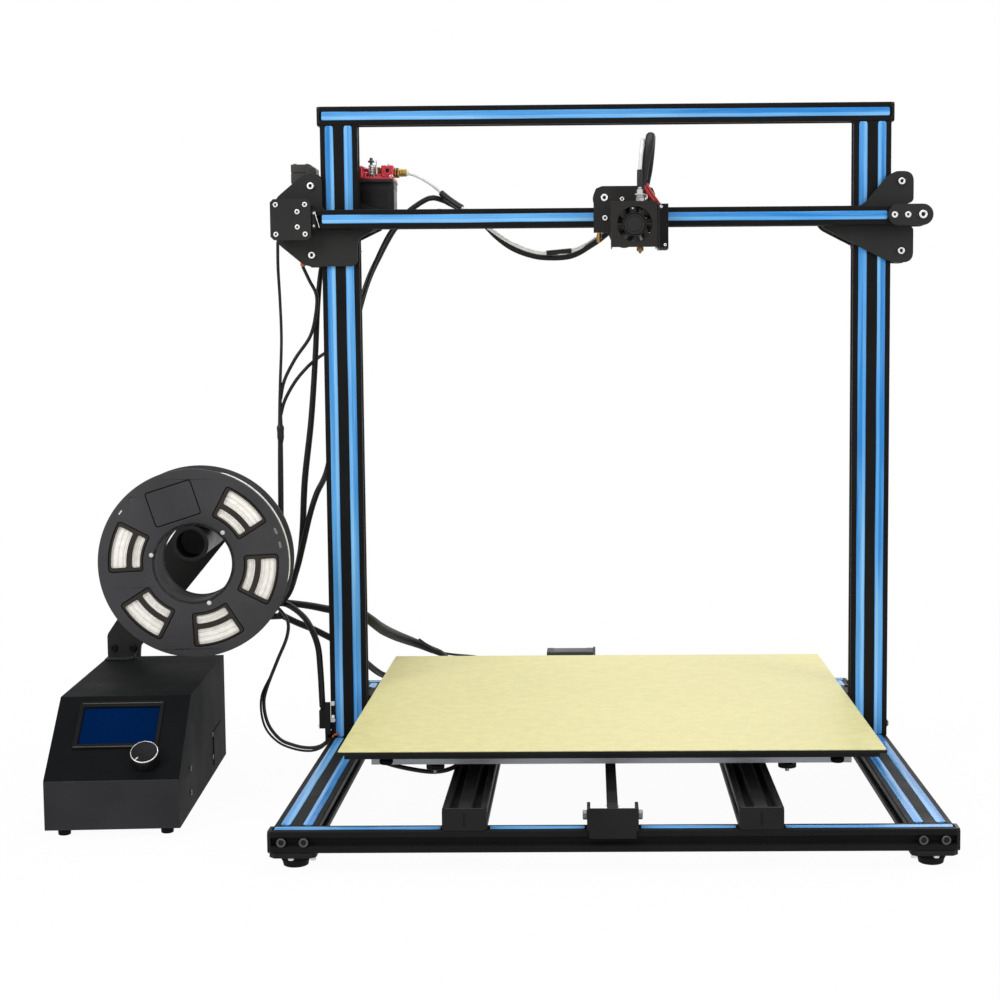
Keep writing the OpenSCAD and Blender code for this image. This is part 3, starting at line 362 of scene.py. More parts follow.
class Shape:
    """Collects faces in millimetres, then becomes one object that rides on a body, or on none."""

    def __init__(self, name):
        self.name, self.v, self.f, self.k, self.mats = name, [], [], [], []

    def add(self, verts, faces, mat, at=HERE):
        base = len(self.v)
        self.v += [at @ Vector(p) for p in verts]
        if MATERIALS[mat] not in self.mats:
            self.mats.append(MATERIALS[mat])
        k = self.mats.index(MATERIALS[mat])
        for f in faces:
            self.f.append([base + i for i in f])
            self.k.append(k)
        return self

    def lathe(self, prof, mat, at=HERE, n=40, closed=False):
        """Profile of (radius, height) points turned round Z; closed joins its last point to its first."""
        verts, rows = [], []
        for r, z in prof:
            if r < 1e-6:
                rows.append([len(verts)])
                verts.append((0, 0, z))
            else:
                rows.append(list(range(len(verts), len(verts) + n)))
                verts += [(x, y, z) for x, y in ring(r, n)]
        faces = []
        pairs = list(zip(rows, rows[1:])) + ([(rows[-1], rows[0])] if closed else [])
        for a, b in pairs:
            for i in range(n):
                j = (i + 1) % n
                q = []
                for x in (a[i % len(a)], a[j % len(a)], b[j % len(b)], b[i % len(b)]):
                    if x not in q:
                        q.append(x)
                if len(q) > 2:
                    faces.append(q)
        return self.add(verts, faces, mat, at)

    def plate(self, loops, z0, z1, mat, at=HERE, b=0.3):
        """Outline (anticlockwise) with holes (clockwise), pulled from z0 to z1 with chamfered edges."""
        verts, faces, tops, bots = [], [], [], []
        for loop in loops:
            k = len(loop)
            rows = []
            steps = ((z0, b), (z0 + b, 0), (z1 - b, 0), (z1, b)) if b > 0 else ((z0, 0), (z1, 0))
            for z, d in steps:
                lp = inset(loop, d) if d else loop
                rows.append(len(verts))
                verts += [(x, y, z) for x, y in lp]
            for a, c in zip(rows, rows[1:]):
                faces += [[a + i, a + (i + 1) % k, c + (i + 1) % k, c + i] for i in range(k)]
            bots += list(range(rows[0], rows[0] + k))
            tops += list(range(rows[-1], rows[-1] + k))
        flat = [[Vector((x, y, 0)) for x, y in loop] for loop in loops]
        pts = [p for loop in flat for p in loop]
        for t in tessellate_polygon(flat):
            a, c, d = (pts[i] for i in t)
            if ((c - a).cross(d - a)).z < 0:
                t = (t[0], t[2], t[1])
            faces.append([tops[i] for i in t])
            faces.append([bots[i] for i in reversed(t)])
        return self.add(verts, faces, mat, at)

    def block(self, x0, x1, y0, y1, z0, z1, mat, at=HERE, b=0.4, r=0.0):
        return self.plate([rect(x0, x1, y0, y1, r)], z0, z1, mat, at, b)

    def tube(self, pts, r, mat, n=10, step=4.0, caps=True):
        """Round cable along a smooth line; r is one radius, or one for each point."""
        pts = [Vector(p) for p in pts]
        rad = r if isinstance(r, (list, tuple)) else [r] * len(pts)
        line, rr = [], []
        for i in range(len(pts) - 1):
            a, p, q, c = pts[max(i - 1, 0)], pts[i], pts[i + 1], pts[min(i + 2, len(pts) - 1)]
            m = max(2, int((q - p).length / step))
            for j in range(m + (1 if i == len(pts) - 2 else 0)):
                t = j / m
                line.append(0.5 * (2 * p + (q - a) * t + (2 * a - 5 * p + 4 * q - c) * t * t
                                   + (3 * p - a - 3 * q + c) * t ** 3))
                rr.append(rad[i] + (rad[i + 1] - rad[i]) * t)
        d = (line[1] - line[0]).normalized()
        side = d.orthogonal().normalized()
        verts, faces = [], []
        for i, c in enumerate(line):
            nd = (line[min(i + 1, len(line) - 1)] - line[max(i - 1, 0)]).normalized()
            side = (d.rotation_difference(nd) @ side).normalized()
            d = nd
            up = d.cross(side)
            for j in range(n):
                t = 2 * math.pi * j / n
                verts.append(c + (side * math.cos(t) + up * math.sin(t)) * rr[i])
            if i:
                b0 = (i - 1) * n
                faces += [[b0 + j, b0 + (j + 1) % n, b0 + n + (j + 1) % n, b0 + n + j] for j in range(n)]
        if caps:
            faces += [list(reversed(range(n))), list(range(len(verts) - n, len(verts)))]
        return self.add(verts, faces, mat)

    def screw(self, at, r, h, mat, hexr=0.52, washer=0.0):
        """Socket head, its underside at the origin."""
        z = 0
        if washer:
            self.plate([ring(r + washer, 32), bore(r * 0.6, 24)], 0, 0.8, mat, at, 0.15)
            z = 0.8
        deep = min(h * 0.6, 2.2)
        self.plate([ring(r, 32)], z, z + h - deep + 0.05, mat, at, 0.1)
        self.plate([ring(r, 32), bore(r * hexr, 6)], z + h - deep, z + h, mat, at, min(0.35, deep * 0.3))
        # A black hexagon on the socket's floor is painted shade in the recess
        self.plate([ring(r * hexr * 0.98, 6)], z + h - deep - 0.3, z + h - deep + 0.08, "plastic", at, 0.02)
        return self

    def sleeve(self, at, y0, y1, mat, r=2.5, R=4.0, c=0.3, n=36):
        """Round spacer with softened outer rims, from y0 to y1 along the placement's Z."""
        prof = [(r, y0), (R - 0.2, y0), (R, y0 + c), (R, y1 - c), (R - 0.2, y1), (r, y1)]
        return self.lathe(prof, mat, at, n, True)

    def pin(self, at, r, z0, z1, mat, n=28):
        """Plain closed cylinder."""
        return self.lathe([(0, z0), (r, z0), (r, z1), (0, z1)], mat, at, n)

    def bolt(self, at, r, z0, z1, n=28, tip=0.5, thin=0.4):
        """Shank that starts inside another part and ends in a chamfered tip."""
        return self.lathe([(r, z0), (r, z1 - tip), (r - thin, z1), (0, z1)], "steel", at, n)

    def nut(self, at, z0, z1, r=4.4, b=0.4, mat="steel", n=20):
        """Hexagon nut on a 5 mm bolt."""
        return self.plate([ring(r, 6), bore(2.5, n)], z0, z1, mat, at, b)

    def done(self, body=None, replaces=(), sharp=34):
        """Makes the object; edges over sharp degrees stay crisp."""
        me = bpy.data.meshes.new(self.name)
        me.from_pydata([p * MM for p in self.v], [], self.f)
        for m in self.mats:
            me.materials.append(m)
        me.polygons.foreach_set("material_index", self.k)
        me.polygons.foreach_set("use_smooth", [True] * len(me.polygons))
        me.update()
        me.set_sharp_from_angle(angle=math.radians(sharp))
        ob = bpy.data.objects.new(self.name, me)
        bpy.context.scene.collection.objects.link(ob)
        if body:
            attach(ob, body)
        if replaces:
            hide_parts(*replaces)
        return ob


def wave(t, seed, scale):
    """Smooth unevenness along a length."""
    return noise.noise(Vector((t / scale, seed * 7.31 + 0.5, seed * 1.7)))


def strip(s, p0, p1, up, seed, w=9.2, soft=1.6):
    """Slot cover: a thin wavy dome pressed into the profile's slot, its ends cut and softened."""
    p0, p1, up = Vector(p0), Vector(p1), Vector(up)
    run = p1 - p0
    length = run.length
    d = run.normalized()
    across = up.cross(d)
    end = (0, 0.25, 0.7, 1.3, 2.0)
    n = int(length / 3.5)
    ts = list(end) + [2.0 + (length - 4) * i / n for i in range(1, n)] + [length - x for x in reversed(end)]
    us = (-1, -0.97, -0.82, -0.5, -0.17, 0.17, 0.5, 0.82, 0.97, 1)
    verts, faces = [], []
    for t in ts:
        e = min(t, length - t)
        k = 1.0 if e > soft else 0.62 + 0.38 * math.sqrt(max(0, 1 - (1 - e / soft) ** 2))
        half = w / 2 * (1 + 0.05 * wave(t, seed, 70)) * k
        off = 0.3 * wave(t, seed + 20, 110)
        crown = 0.55 + 0.5 * wave(t, seed + 40, 85)
        tilt = 0.55 * wave(t, seed + 60, 120)
        for u in us:
            if abs(u) == 1:
                h = -0.8
            else:
                h = 0.22 + crown * (1 - u * u) + tilt * u * (1 - u * u) * 1.6
                h += 0.22 * noise.noise(Vector((t / 42, u * 1.4, seed * 3.3)))
                h = min(max(h, 0.05), 1.35) * (1 if e > 0.2 else 0.3)
            verts.append(p0 + d * t + across * (u * half * (0.84 if abs(u) == 1 else 1) + off) + up * h)
    m = len(us)
    ax = "xyz"[max(range(3), key=lambda i: abs(d[i]))]
    # One pair of columns gets the painted highlight blue, the edge columns in the slot painted shade
    light = {2, 3} if seed % 2 else {5, 6}
    last = len(verts) - m
    groups = {"mid": [list(range(m)), list(range(last, last + m))[::-1]], "light": [], "painted_shade": []}
    for i in range(len(ts) - 1):
        for j in range(m - 1):
            kind = "painted_shade" if j in (0, m - 2) else "light" if j in light else "mid"
            groups[kind].append([i * m + j, (i + 1) * m + j, (i + 1) * m + j + 1, i * m + j + 1])
    for kind, fs in groups.items():
        used = sorted({k for f in fs for k in f})
        at = {k: n for n, k in enumerate(used)}
        s.add([verts[k] for k in used], [[at[k] for k in f] for f in fs], f"blue_{kind}_{ax}")


# ---------------------------------------------------------------- slot strips
s = Shape("strips_frame")
seed = 1
for sx in SIDES:
    for dx in (-10, 10):
        x = sx * POST_X + dx
        strip(s, (x, -338, 36), (x, 20.5, 36), (0, 0, 1), seed)
        strip(s, (x, 92, 36), (x, 338, 36), (0, 0, 1), seed + 1)
        strip(s, (x, 22, 37), (x, 22, 699.6), (0, -1, 0), seed + 2, soft=3.4)
        seed += 3
strip(s, (-303, 22, 710), (303, 22, 710), (0, -1, 0), seed)
for sy in SIDES:
    for x0, x1 in (((-110, -25), (25, 110)) if sy < 0 else ((-110, 110),)):
        strip(s, (x0, sy * 350, 36), (x1, sy * 350, 36), (0, 0, 1), seed + 1)
    for q in SIDES:
        c = q * 228.5
        strip(s, (c - 74.5, sy * 350, 36), (c + 74.5, sy * 350, 36), (0, 0, 1), seed + 2 + q)
    seed += 4
strip(s, (-262, 340, 26), (262, 340, 26), (0, -1, 0), seed)
s.done("frame", ["slot_covers"], 50)
s = Shape("strip_cross_beam")
strip(s, (-300.5, -4, BEAM_Z), (297, -4, BEAM_Z), (0, -1, 0), 41)
s.done("gantry", ["x_slot_cover"], 50)


# ---------------------------------------------------------------- feet and frame hardware
s = Shape("feet")
for sx in SIDES:
    for sy in SIDES:
        at = move(sx * 286, sy * 339, 0)
        s.lathe([(0, 0), (10.2, 0), (11.2, 0.6), (12.2, 5), (12.5, 8.6), (12.1, 10.4), (11.2, 11.3),
                 (0, 11.3)], "rubber", at, 48)
        s.lathe([(12.55, 5.2), (12.9, 5.6), (12.9, 6.4), (12.55, 6.8)], "rubber", at, 48)
for x in (-49, 49):
    for y in (16, 292):
        s.lathe([(0, 0), (5.2, 0), (5.9, 0.5), (6.4, 7.2), (6.2, 7.9), (0, 7.9)], "rubber",
                BOX @ move(x, y, 0), 32)
s.done("frame", ["rubber_feet"])

s = Shape("frame_fasteners")
for sx in SIDES:
    for x in (295.5, 275.5):
        for q, at in ((-1, FRONT), (1, BACK)):
            s.screw(move(sx * x, q * 360, 26) @ at, 4.1, 1.6, "blacksteel", 0.66)
    for q in SIDES:
        for x in (267.5, 287.5):
            s.screw(move(sx * x, q * 357.2, 11.4) @ turn("X", 180), 2.5, 2.2, "dome")
at = move(-27, BED_BELT_Y, BED_BELT_Z) @ RIGHT
s.lathe([(0, 0), (2.2, 0), (2.5, 0.4), (2.5, 53.6), (2.2, 54), (0, 54)], "steel", at, 32)
for z in (0.2, 49.8):
    s.nut(at, z, z + 4, 4.5, mat="cast", n=24)
for z in (26, 50):
    s.screw(BOX @ move(64, 66, z) @ RIGHT, 2.6, 1.2, "blacksteel", 0.6)
for z in (28, 52.5):
    s.screw(BOX @ move(64, 211.5, z) @ RIGHT, 2.4, 1.2, "blacksteel")
for x in (-56, -35):
    s.screw(BOX @ move(x, 304, 132) @ FRONT, 3.3, 2.4, "plastic", 0.5, 1.2)
for sx in SIDES:
    for x in (-15.5, 15.5):
        for y in (-15.5, 15.5):
            s.screw(move(sx * POST_X + x, SCREW_Y + y, 79), 2.6, 2.0, "blacksteel")
s.done("frame", ["frame_screws"])


def motor(s, at, length, plug=0, boss=2.0, shaft=21.0):
    """Stepper with its face at the origin and shaft along Z."""
    cap = rounded([(-21, -17), (-17, -21), (17, -21), (21, -17), (21, 17), (17, 21), (-17, 21), (-21, 17)],
                  1.2, 2)
    cor = rounded([(-20.8, -15.6), (-15.6, -20.8), (15.6, -20.8), (20.8, -15.6), (20.8, 15.6), (15.6, 20.8),
                   (-15.6, 20.8), (-20.8, 15.6)], 0.6, 2)
    s.plate([cap], -8, 0, "motor", at, 0.5)
    s.plate([cap], -length, -length + 9, "motor", at, 0.5)
    s.plate([cor], -length + 8.9, -7.9, "lamin", at, 0)
    for a in range(4):
        t = at @ turn("Z", 45 + 90 * a)
        s.block(24.4, 25.9, -3.2, 3.2, -length + 9, -8, "motor", t, 0.2)
        if boss < 3:
            s.screw(at @ turn("Z", 90 * a) @ move(15.5, 15.5, -0.5), 2.4, 0.9, "blacksteel")
    s.lathe([(11, 0), (11, boss - 0.4), (10.6, boss), (6, boss), (5.6, boss - 0.5), (0, boss - 0.5)],
            "cast", at, 48)
    s.bolt(at, 2.5, 0, shaft)
    t = at @ turn("Z", plug)
    s.block(-8, 8, 20.5, 27, -length + 1.5, -length + 8.5, "plastic", t, 0.4)
    s.block(-6.6, 6.6, 26, 28.4, -length + 2.6, -length + 7.4, "dome", t, 0.3)


s = Shape("motors_frame")
motor(s, move(-16, BED_MOTOR_Y, 46) @ RIGHT, 60, 0, 2.0, 26)
for sx in SIDES:
    motor(s, move(sx * POST_X, SCREW_Y, 76), 39.8, 90 if sx < 0 else -90, 3.4, 10)
s.done("frame", ["frame_motors"])
s = Shape("motors_gantry")
motor(s, move(-PULLEY_X, 19, BEAM_Z) @ FRONT @ Matrix.Diagonal((0.857, 0.857, 1, 1)), 40, 0, 2.0, 20.5)
motor(s, EXTRUDER @ move(0, 0, -3), 40, -90, 2.0, 21)
s.done("gantry", ["gantry_motors"])


# ---------------------------------------------------------------- belts, pulleys, wheels, screws
def belt(name, at, x0, x1, w, body, node):
    """Closed toothed belt in the shape's XY plane round two pulleys on its X axis."""
    s = Shape(name)
    ri, ro = 6.45, 7.85
    inner, outer = [], []
    n = int((x1 - x0) / 2)

    def pair(x, y, nx, ny, tooth):
        r = ri + 0.02 + (0 if tooth else 0.55)
        inner.append((x + nx * r, y + ny * r))
        outer.append((x + nx * ro, y + ny * ro))

    for i in range(n):
        for k in (0, 0.5):
            x = x0 + (x1 - x0) * (i + k) / n
            pair(x, 0, 0, -1, k == 0)
            pair(x + 0.7, 0, 0, -1, k == 0)
    for i in range(21):
        a = math.radians(-90 + 9 * i)
        pair(x1, 0, math.cos(a), math.sin(a), i % 2 == 0)
    for i in range(n):
        for k in (0, 0.5):
            x = x1 - (x1 - x0) * (i + k) / n
            pair(x, 0, 0, 1, k == 0)
            pair(x - 0.7, 0, 0, 1, k == 0)
    for i in range(21):
        a = math.radians(90 + 9 * i)
        pair(x0, 0, math.cos(a), math.sin(a), i % 2 == 0)
    k = len(inner)
    verts = [(x, y, z) for z in (-w / 2, w / 2) for x, y in inner + outer]
    faces = []
    for i in range(k):
        j = (i + 1) % k
        faces += [[i, j, 2 * k + j, 2 * k + i][::-1], [k + i, k + j, 3 * k + j, 3 * k + i],
                  [i, j, k + j, k + i], [2 * k + i, 2 * k + j, 3 * k + j, 3 * k + i][::-1]]
    s.add(verts, faces, "belt", at)
    s.done(body, [node])


belt("belt_x", move(0, BELT_Y, BEAM_Z) @ FRONT, -PULLEY_X, PULLEY_X, 6, "gantry", "x_belt")
run, drop = BED_MOTOR_Y - BED_BELT_Y, 1  # the bed motor's shaft is 1 mm lower than the idler
slant = turn("Y", math.degrees(math.atan2(drop, run)))
bed_belt_at = move(0, BED_BELT_Y, BED_BELT_Z) @ turn("Z", 90) @ slant @ turn("X", 90)
belt("belt_y", bed_belt_at, 0, math.hypot(run, drop), 9.6, "frame", "y_belt")


def wheel(node, at):
    """Grooved plastic wheel with its two bearings."""
    s = Shape("wheel_" + node)
    s.lathe([(8.2, -5.1), (9, -5.1), (9.3, -4.9), (11.7, -2.75), (12.2, -2.2), (12.2, 2.2), (11.7, 2.75),
             (9.3, 4.9), (9, 5.1), (8.2, 5.1), (8.0, 4.8), (8.0, -4.8)], "wheel", at, 64, True)
    s.lathe([(6.9, -4.7), (8.0, -4.7), (8.0, 4.7), (6.9, 4.7), (6.7, 4.3), (6.7, -4.3)], "steel", at, 48,
            True)
    s.lathe([(4.2, -4.2), (6.8, -4.2), (6.8, 4.2), (4.2, 4.2)], "plastic", at, 48, True)
    s.lathe([(2.56, -4.9), (4.2, -4.9), (4.3, -4.6), (4.3, 4.6), (4.2, 4.9), (2.56, 4.9)], "steel", at, 40,
            True)
    s.done(node + "_body", [node])


for side, sx in (("l", -1), ("r", 1)):
    for i, (x, dz) in enumerate(((OUTER_WHEEL_X, WHEEL_DZ), (OUTER_WHEEL_X, -WHEEL_DZ),
                                 (INNER_WHEEL_X, 0))):
        wheel(f"z_wheel_{side}{i + 1}", move(sx * x, 32, BEAM_Z + dz) @ FRONT)
for i, (x, z) in enumerate(CARRIAGE_WHEELS):
    wheel(f"x_wheel_{i + 1}", move(x, BELT_Y, z) @ FRONT)
for i, (sx, q) in enumerate(((-1, -1), (-1, 1), (1, -1), (1, 1))):
    wheel(f"y_wheel_{i + 1}", move(sx * BED_WHEEL_X, BED_Y + q * 60, 46))

for side, sx in (("l", -1), ("r", 1)):
    s = Shape("screw_" + side)
    z0, z1, pitch, n = 100.0, 684.0, 2.0, 18
    steps = ((0.0, 3.55), (0.45, 4.0), (1.0, 4.0), (1.45, 3.55))
    rows = []
    z = z0
    while z < z1:
        rows += [(z + dz, r) for dz, r in steps]
        z += pitch
    verts = []
    for z, r in rows:
        verts += [(r * math.cos(2 * math.pi * i / n), r * math.sin(2 * math.pi * i / n), z + pitch * i / n)
                  for i in range(n)]
    faces = []
    for k in range(len(rows) - 5):
        for i in range(n):
            a, b = k * n + i, (k + 1) * n + i
            c, d = (b + 1, a + 1) if i < n - 1 else ((k + 5) * n, (k + 4) * n)
            faces.append([a, d, c, b])
    at = move(sx * POST_X, SCREW_Y, 0)
    s.add(verts, faces, "steel", at)
    s.lathe([(0, 84), (3.5, 84), (3.5, 688), (3.0, 688.6), (0, 688.6)], "steel", at, 24)
    s.lathe([(5, 80.6), (9.1, 80.6), (9.5, 81), (9.5, 89.4), (9.1, 89.8), (8.9, 90.2), (9.1, 90.6),
             (9.5, 91), (9.5, 99), (9.1, 99.4), (4.4, 99.4)], "alu", at, 48)
    for z in (84.5, 95.5):
        for a in (0, 90):
            s.screw(at @ turn("Z", a) @ move(8.2, 0, z) @ RIGHT, 1.6, 1.5, "blacksteel")
    s.done(f"lead_screw_{side}_body", [f"lead_screw_{side}"], 50)


def pulley(node, at, w, toothed):
    """Belt pulley, or a plain idler, w wide between its flanges."""
    s = Shape("turning_" + node)
    if toothed:
        prof = []
        for i in range(20):
            a = 2 * math.pi * i / 20
            for k, r in ((-0.3, 6.4), (0.05, 6.4), (0.2, 5.8), (0.5, 5.8)):
                prof.append((r * math.cos(a + k * 0.314), r * math.sin(a + k * 0.314)))
        s.plate([prof, bore(2.56, 32)], -w / 2, w / 2, "steel", at, 0)
    else:
        s.lathe([(2.56, -w / 2), (6.3, -w / 2), (6.4, 0), (6.3, w / 2), (2.56, w / 2)], "steel", at, 48,
                True)
    for z in (-w / 2, w / 2 - 1.1):
        s.lathe([(2.56, z), (7.9, z), (8.2, z + 0.3), (8.2, z + 0.8), (7.9, z + 1.1), (2.56, z + 1.1)],
                "steel", at, 48, True)
    if toothed:
        s.lathe([(2.56, w / 2 + 1.1), (7.8, w / 2 + 1.1), (8.1, w / 2 + 1.4), (8.1, w / 2 + 3.7),
                 (7.8, w / 2 + 4), (2.56, w / 2 + 4)], "steel", at, 48, True)
        s.screw(at @ move(7.4, 0, w / 2 + 2.6) @ RIGHT, 1.2, 0.8, "blacksteel")
    s.done(node + "_body", [node])


pulley("x_pulley", move(-PULLEY_X, BELT_Y, BEAM_Z) @ FRONT, 8.6, True)
pulley("x_idler", move(PULLEY_X, BELT_Y, BEAM_Z) @ FRONT, 8.6, False)
pulley("y_pulley", move(0, BED_MOTOR_Y, 46) @ RIGHT, 12.4, True)
pulley("y_idler", move(0, BED_BELT_Y, BED_BELT_Z) @ RIGHT, 12.4, False)

s = Shape("turning_drive_gear")
gear = []
for i in range(26):
    a = 2 * math.pi * i / 26
    gear += [(5.5 * math.cos(a), 5.5 * math.sin(a)), (4.9 * math.cos(a + 0.12), 4.9 * math.sin(a + 0.12))]
at = EXTRUDER @ move(0, 0, 6)
s.plate([gear, bore(2.56, 32)], 2.6, 7, "brass", at, 0)
for z, r in ((0, 5.4), (7, 5.3)):
    s.lathe([(2.56, z), (r - 0.3, z), (r, z + 0.3), (r, z + 1.7), (r - 0.3, z + 2), (2.56, z + 2)], "brass",
            at, 40, True)
s.done("drive_gear_body", ["drive_gear"])


# ---------------------------------------------------------------- gantry hardware
s = Shape("gantry_fasteners")


def axle(x, z, flush):
    """Wheel bolt through both gantry plates; a flush one has no head in front."""
    at = move(x, 0, z) @ BACK
    y0 = 15.5 if flush else 12.5
    s.lathe([(2.4, y0), (2.48, y0 + 0.4), (2.48, 52), (2.2, 52.6), (0, 52.6)], "steel", at, 28)
    if not flush:
        s.screw(move(x, 16, z) @ FRONT, 3.7, 3.9, "steel", 0.5)
    else:
        s.lathe([(0, 15.2), (2.3, 15.2), (2.5, 15.5), (2.5, 17)], "steel", at, 28)
    for y in (19.1, 37.3):
        s.sleeve(at, y, y + 7.6, "alu")
    s.nut(at, 48.1, 51.8)
    s.plate([ring(5.0, 32), bore(2.5, 20)], 47.95, 48.2, "steel", at, 0.05)


for sx in SIDES:
    for q in SIDES:
        axle(sx * OUTER_WHEEL_X, BEAM_Z + q * WHEEL_DZ, False)
    axle(sx * INNER_WHEEL_X, BEAM_Z, True)
for x in (-15.5, 15.5):
    for z in (-15.5, 15.5):
        s.screw(move(-PULLEY_X + x, -7, BEAM_Z + z) @ FRONT, 2.7, 1.5, "steel", 0.42)
for z in (-8, 8):
    s.screw(move(-326.2, -7, BEAM_Z + z) @ FRONT, 2.7, 1.4, "steel", 0.42)
for x in (304, 318):
    s.screw(move(x, -8.6, BEAM_Z) @ FRONT, 3.3, 0.9, "steel", 0.42)
at = move(PULLEY_X, 0, BEAM_Z) @ BACK
s.screw(move(PULLEY_X, -8.6, BEAM_Z) @ FRONT, 4.4, 3.2, "steel", 0.5)
s.bolt(at, 2.5, -8.6, 22, tip=0.4)
for y0, y1 in ((-4.5, 1.5), (10.45, 15.9)):
    s.sleeve(at, y0, y1, "alu")
s.nut(at, 19, 22.6)
for sx in SIDES:
    for x in (-12, 12):
        s.screw(move(sx * POST_X + x, SCREW_Y, 572), 2.6, 2.2, "blacksteel")
s.done("gantry", ["gantry_bolts"])

s = Shape("lead_nuts_and_fitting")
for sx in SIDES:
    at = move(sx * POST_X, SCREW_Y, 572)
    s.lathe([(4.12, -4.6), (5.2, -4.6), (5.5, -4.2), (5.5, 0), (10.6, 0), (11, 0.4), (11, 3.1), (10.6, 3.5),
             (5.5, 3.5), (5.5, 7), (5.1, 7.4), (4.12, 7.4)], "brass", at, 48, True)
    for a in range(4):
        s.screw(at @ turn("Z", 90 * a + 45) @ move(8.2, 0, 3.5), 1.5, 1.2, "blacksteel")
at = move(-230, 66, 653.4) @ RIGHT
s.plate([ring(5.4, 6), bore(2.1, 24)], 0, 5.4, "brass", at, 0.5)
s.lathe([(2.1, 5.2), (3.6, 5.2), (3.6, 6.2), (4.4, 6.2), (4.4, 8.4), (3.4, 8.4), (3.4, 8.8), (4.2, 9),
         (4.2, 12.6), (3.9, 13), (2.1, 13)], "brass", at, 36, True)
s.lathe([(4.45, 2.2), (5.5, 2.2), (5.5, 3.6), (4.45, 3.6)], "plastic", at, 36, True)
s.lathe([(2.05, 13), (3.2, 13), (3.5, 13.4), (3.5, 15), (2.9, 15.6), (2.05, 15.6)], "tube", at, 32, True)
s.done("gantry", ["brass_fittings"])

s = Shape("extruder")
at = EXTRUDER
s.plate([rect(-21, 21, -21, 21, 3), bore(11.3, 48)], 0, 3.2, "red", at, 0.5)
s.plate([rounded([(7.5, -21), (21, -21), (21, 3), (7.5, 3)], 2)], 3.15, 15.5, "red", at, 0.6)
s.plate([rounded([(-20.5, -20.5), (-13, -20.5), (-11, -16), (-13, -10), (-20.5, -10)], 1.5)], 3.15, 15,
        "red", at, 0.6)
s.plate([rounded([(-13, -19), (-9, -19), (-7, -14), (-9, -11.5), (-13, -11.5)], 1)], 3.15, 8.6, "red", at,
        0.5)
s.plate([rounded([(-20, 9), (14, 9), (19, 12), (19, 18.4), (-20, 18.4)], 2)], 3.15, 15.3, "red", at, 0.6)
s.plate([rounded([(1.5, -19), (7.6, -19), (7.6, -13), (1.5, -13)], 1)], 3.15, 6.6, "red", at, 0.4)
f = at @ move(14.5, -21, 9.6) @ FRONT
s.plate([ring(4.6, 40), bore(2.1, 24)], -0.2, 1.0, "red", f, 0.3)
# A black disc in the ring's hole is painted shade
s.lathe([(0, 0.1), (2.2, 0.1)], "plastic", f, 24)
for x, y, z in ((16.8, -17, 15.5), (11, -1, 15.5), (-16.5, -15.5, 15), (-14, 14, 15.3), (9, 14, 15.3)):
    s.screw(at @ move(x, y, z), 2.5, 2.0, "steel")
s.screw(at @ move(18.5, -21, 3.6) @ FRONT, 1.7, 1.0, "steel")
coil = []
for i in range(121):
    a = i / 120 * 6 * 2 * math.pi
    coil.append(at @ Vector((-3.5 + 2.9 * math.cos(a), -16 + 2.9 * math.sin(a), 5.2 + 10.5 * i / 120)))
s.tube(coil, 0.55, "steel", 7, 1.2)
s.lathe([(1.5, 3.2), (1.5, 19), (3.4, 19), (3.6, 19.4), (3.6, 20.6), (3.2, 21), (1.8, 21), (1.8, 23.6),
         (1.4, 24), (0, 24)], "blacksteel", at @ move(-3.5, -16, 0), 28)
s.lathe([(1.2, 3.2), (1.2, 22.2), (0.9, 22.6), (0, 22.6)], "steel", at @ move(2.2, -12.5, 0), 20)
s.lathe([(0, 16), (2.6, 16), (3, 16.4), (3, 18.2), (2.6, 18.6), (0, 18.6)], "steel",
        at @ move(-3.5, -16, -2), 28)
s.done("gantry", ["extruder_block"])

s = Shape("switch_and_sensor")
s.plate([rect(-311.8, -306.3, 588.7, 609, 0.8)], 0, 6.2, "plastic", move(0, 1.3, 0) @ FRONT, 0.4)
for z in (591.4, 597.4, 603.6):
    s.block(-315.4, -311.7, 0.6, 3.6, z, z + 3.2, "steel", move(0, -4, 0), 0.2)
    s.block(-316.2, -314.9, 0.4, 3.8, z - 0.3, z + 3.5, "dome", move(0, -4, 0), 0.15)
s.plate([[(-307.9, 606.8), (-303.2, 590.2), (-302.7, 590.3), (-307.3, 607)]], 0, 3, "steel",
        move(0, -4.4, 0) @ FRONT, 0.05)
for z in (592.2, 605.6):
    s.screw(move(-309, -4.9, z) @ FRONT, 1.2, 0.6, "steel", 0.4)
g = move(-341, 48, 641)
s.plate([rect(0, 21.5, 0, 47, 1)], 0.2, 11.4, "sensor", g, 0.6)
s.plate([rect(0, 21.5, 0, 47, 1)], 11.8, 20.8, "sensor", g, 0.6)
s.plate([rect(0.6, 20.9, 0.6, 46.4, 1)], 11, 12, "plastic", g, 0)
s.plate([rounded([(21, 3), (24, 4), (25, 8), (25, 40), (23, 44), (21, 44)], 1.5)], 2.4, 18.6, "sensor", g,
        1.0)
s.lathe([(0, 0), (4.6, 0), (5.4, 0.6), (5.6, 3), (5, 4), (0, 4)], "sensor",
        g @ move(22.2, 0.8, 12.5) @ FRONT, 32)
for x, y in ((4, 5), (17, 5), (4, 42), (17, 42)):
    s.screw(g @ move(x, y, 20.6), 1.9, 1.2, "blacksteel")
s.block(-316.4, -302, 48, 68, 645, 647, "sheet", HERE, 0.4)
s.done("gantry", ["x_limit_switch"])

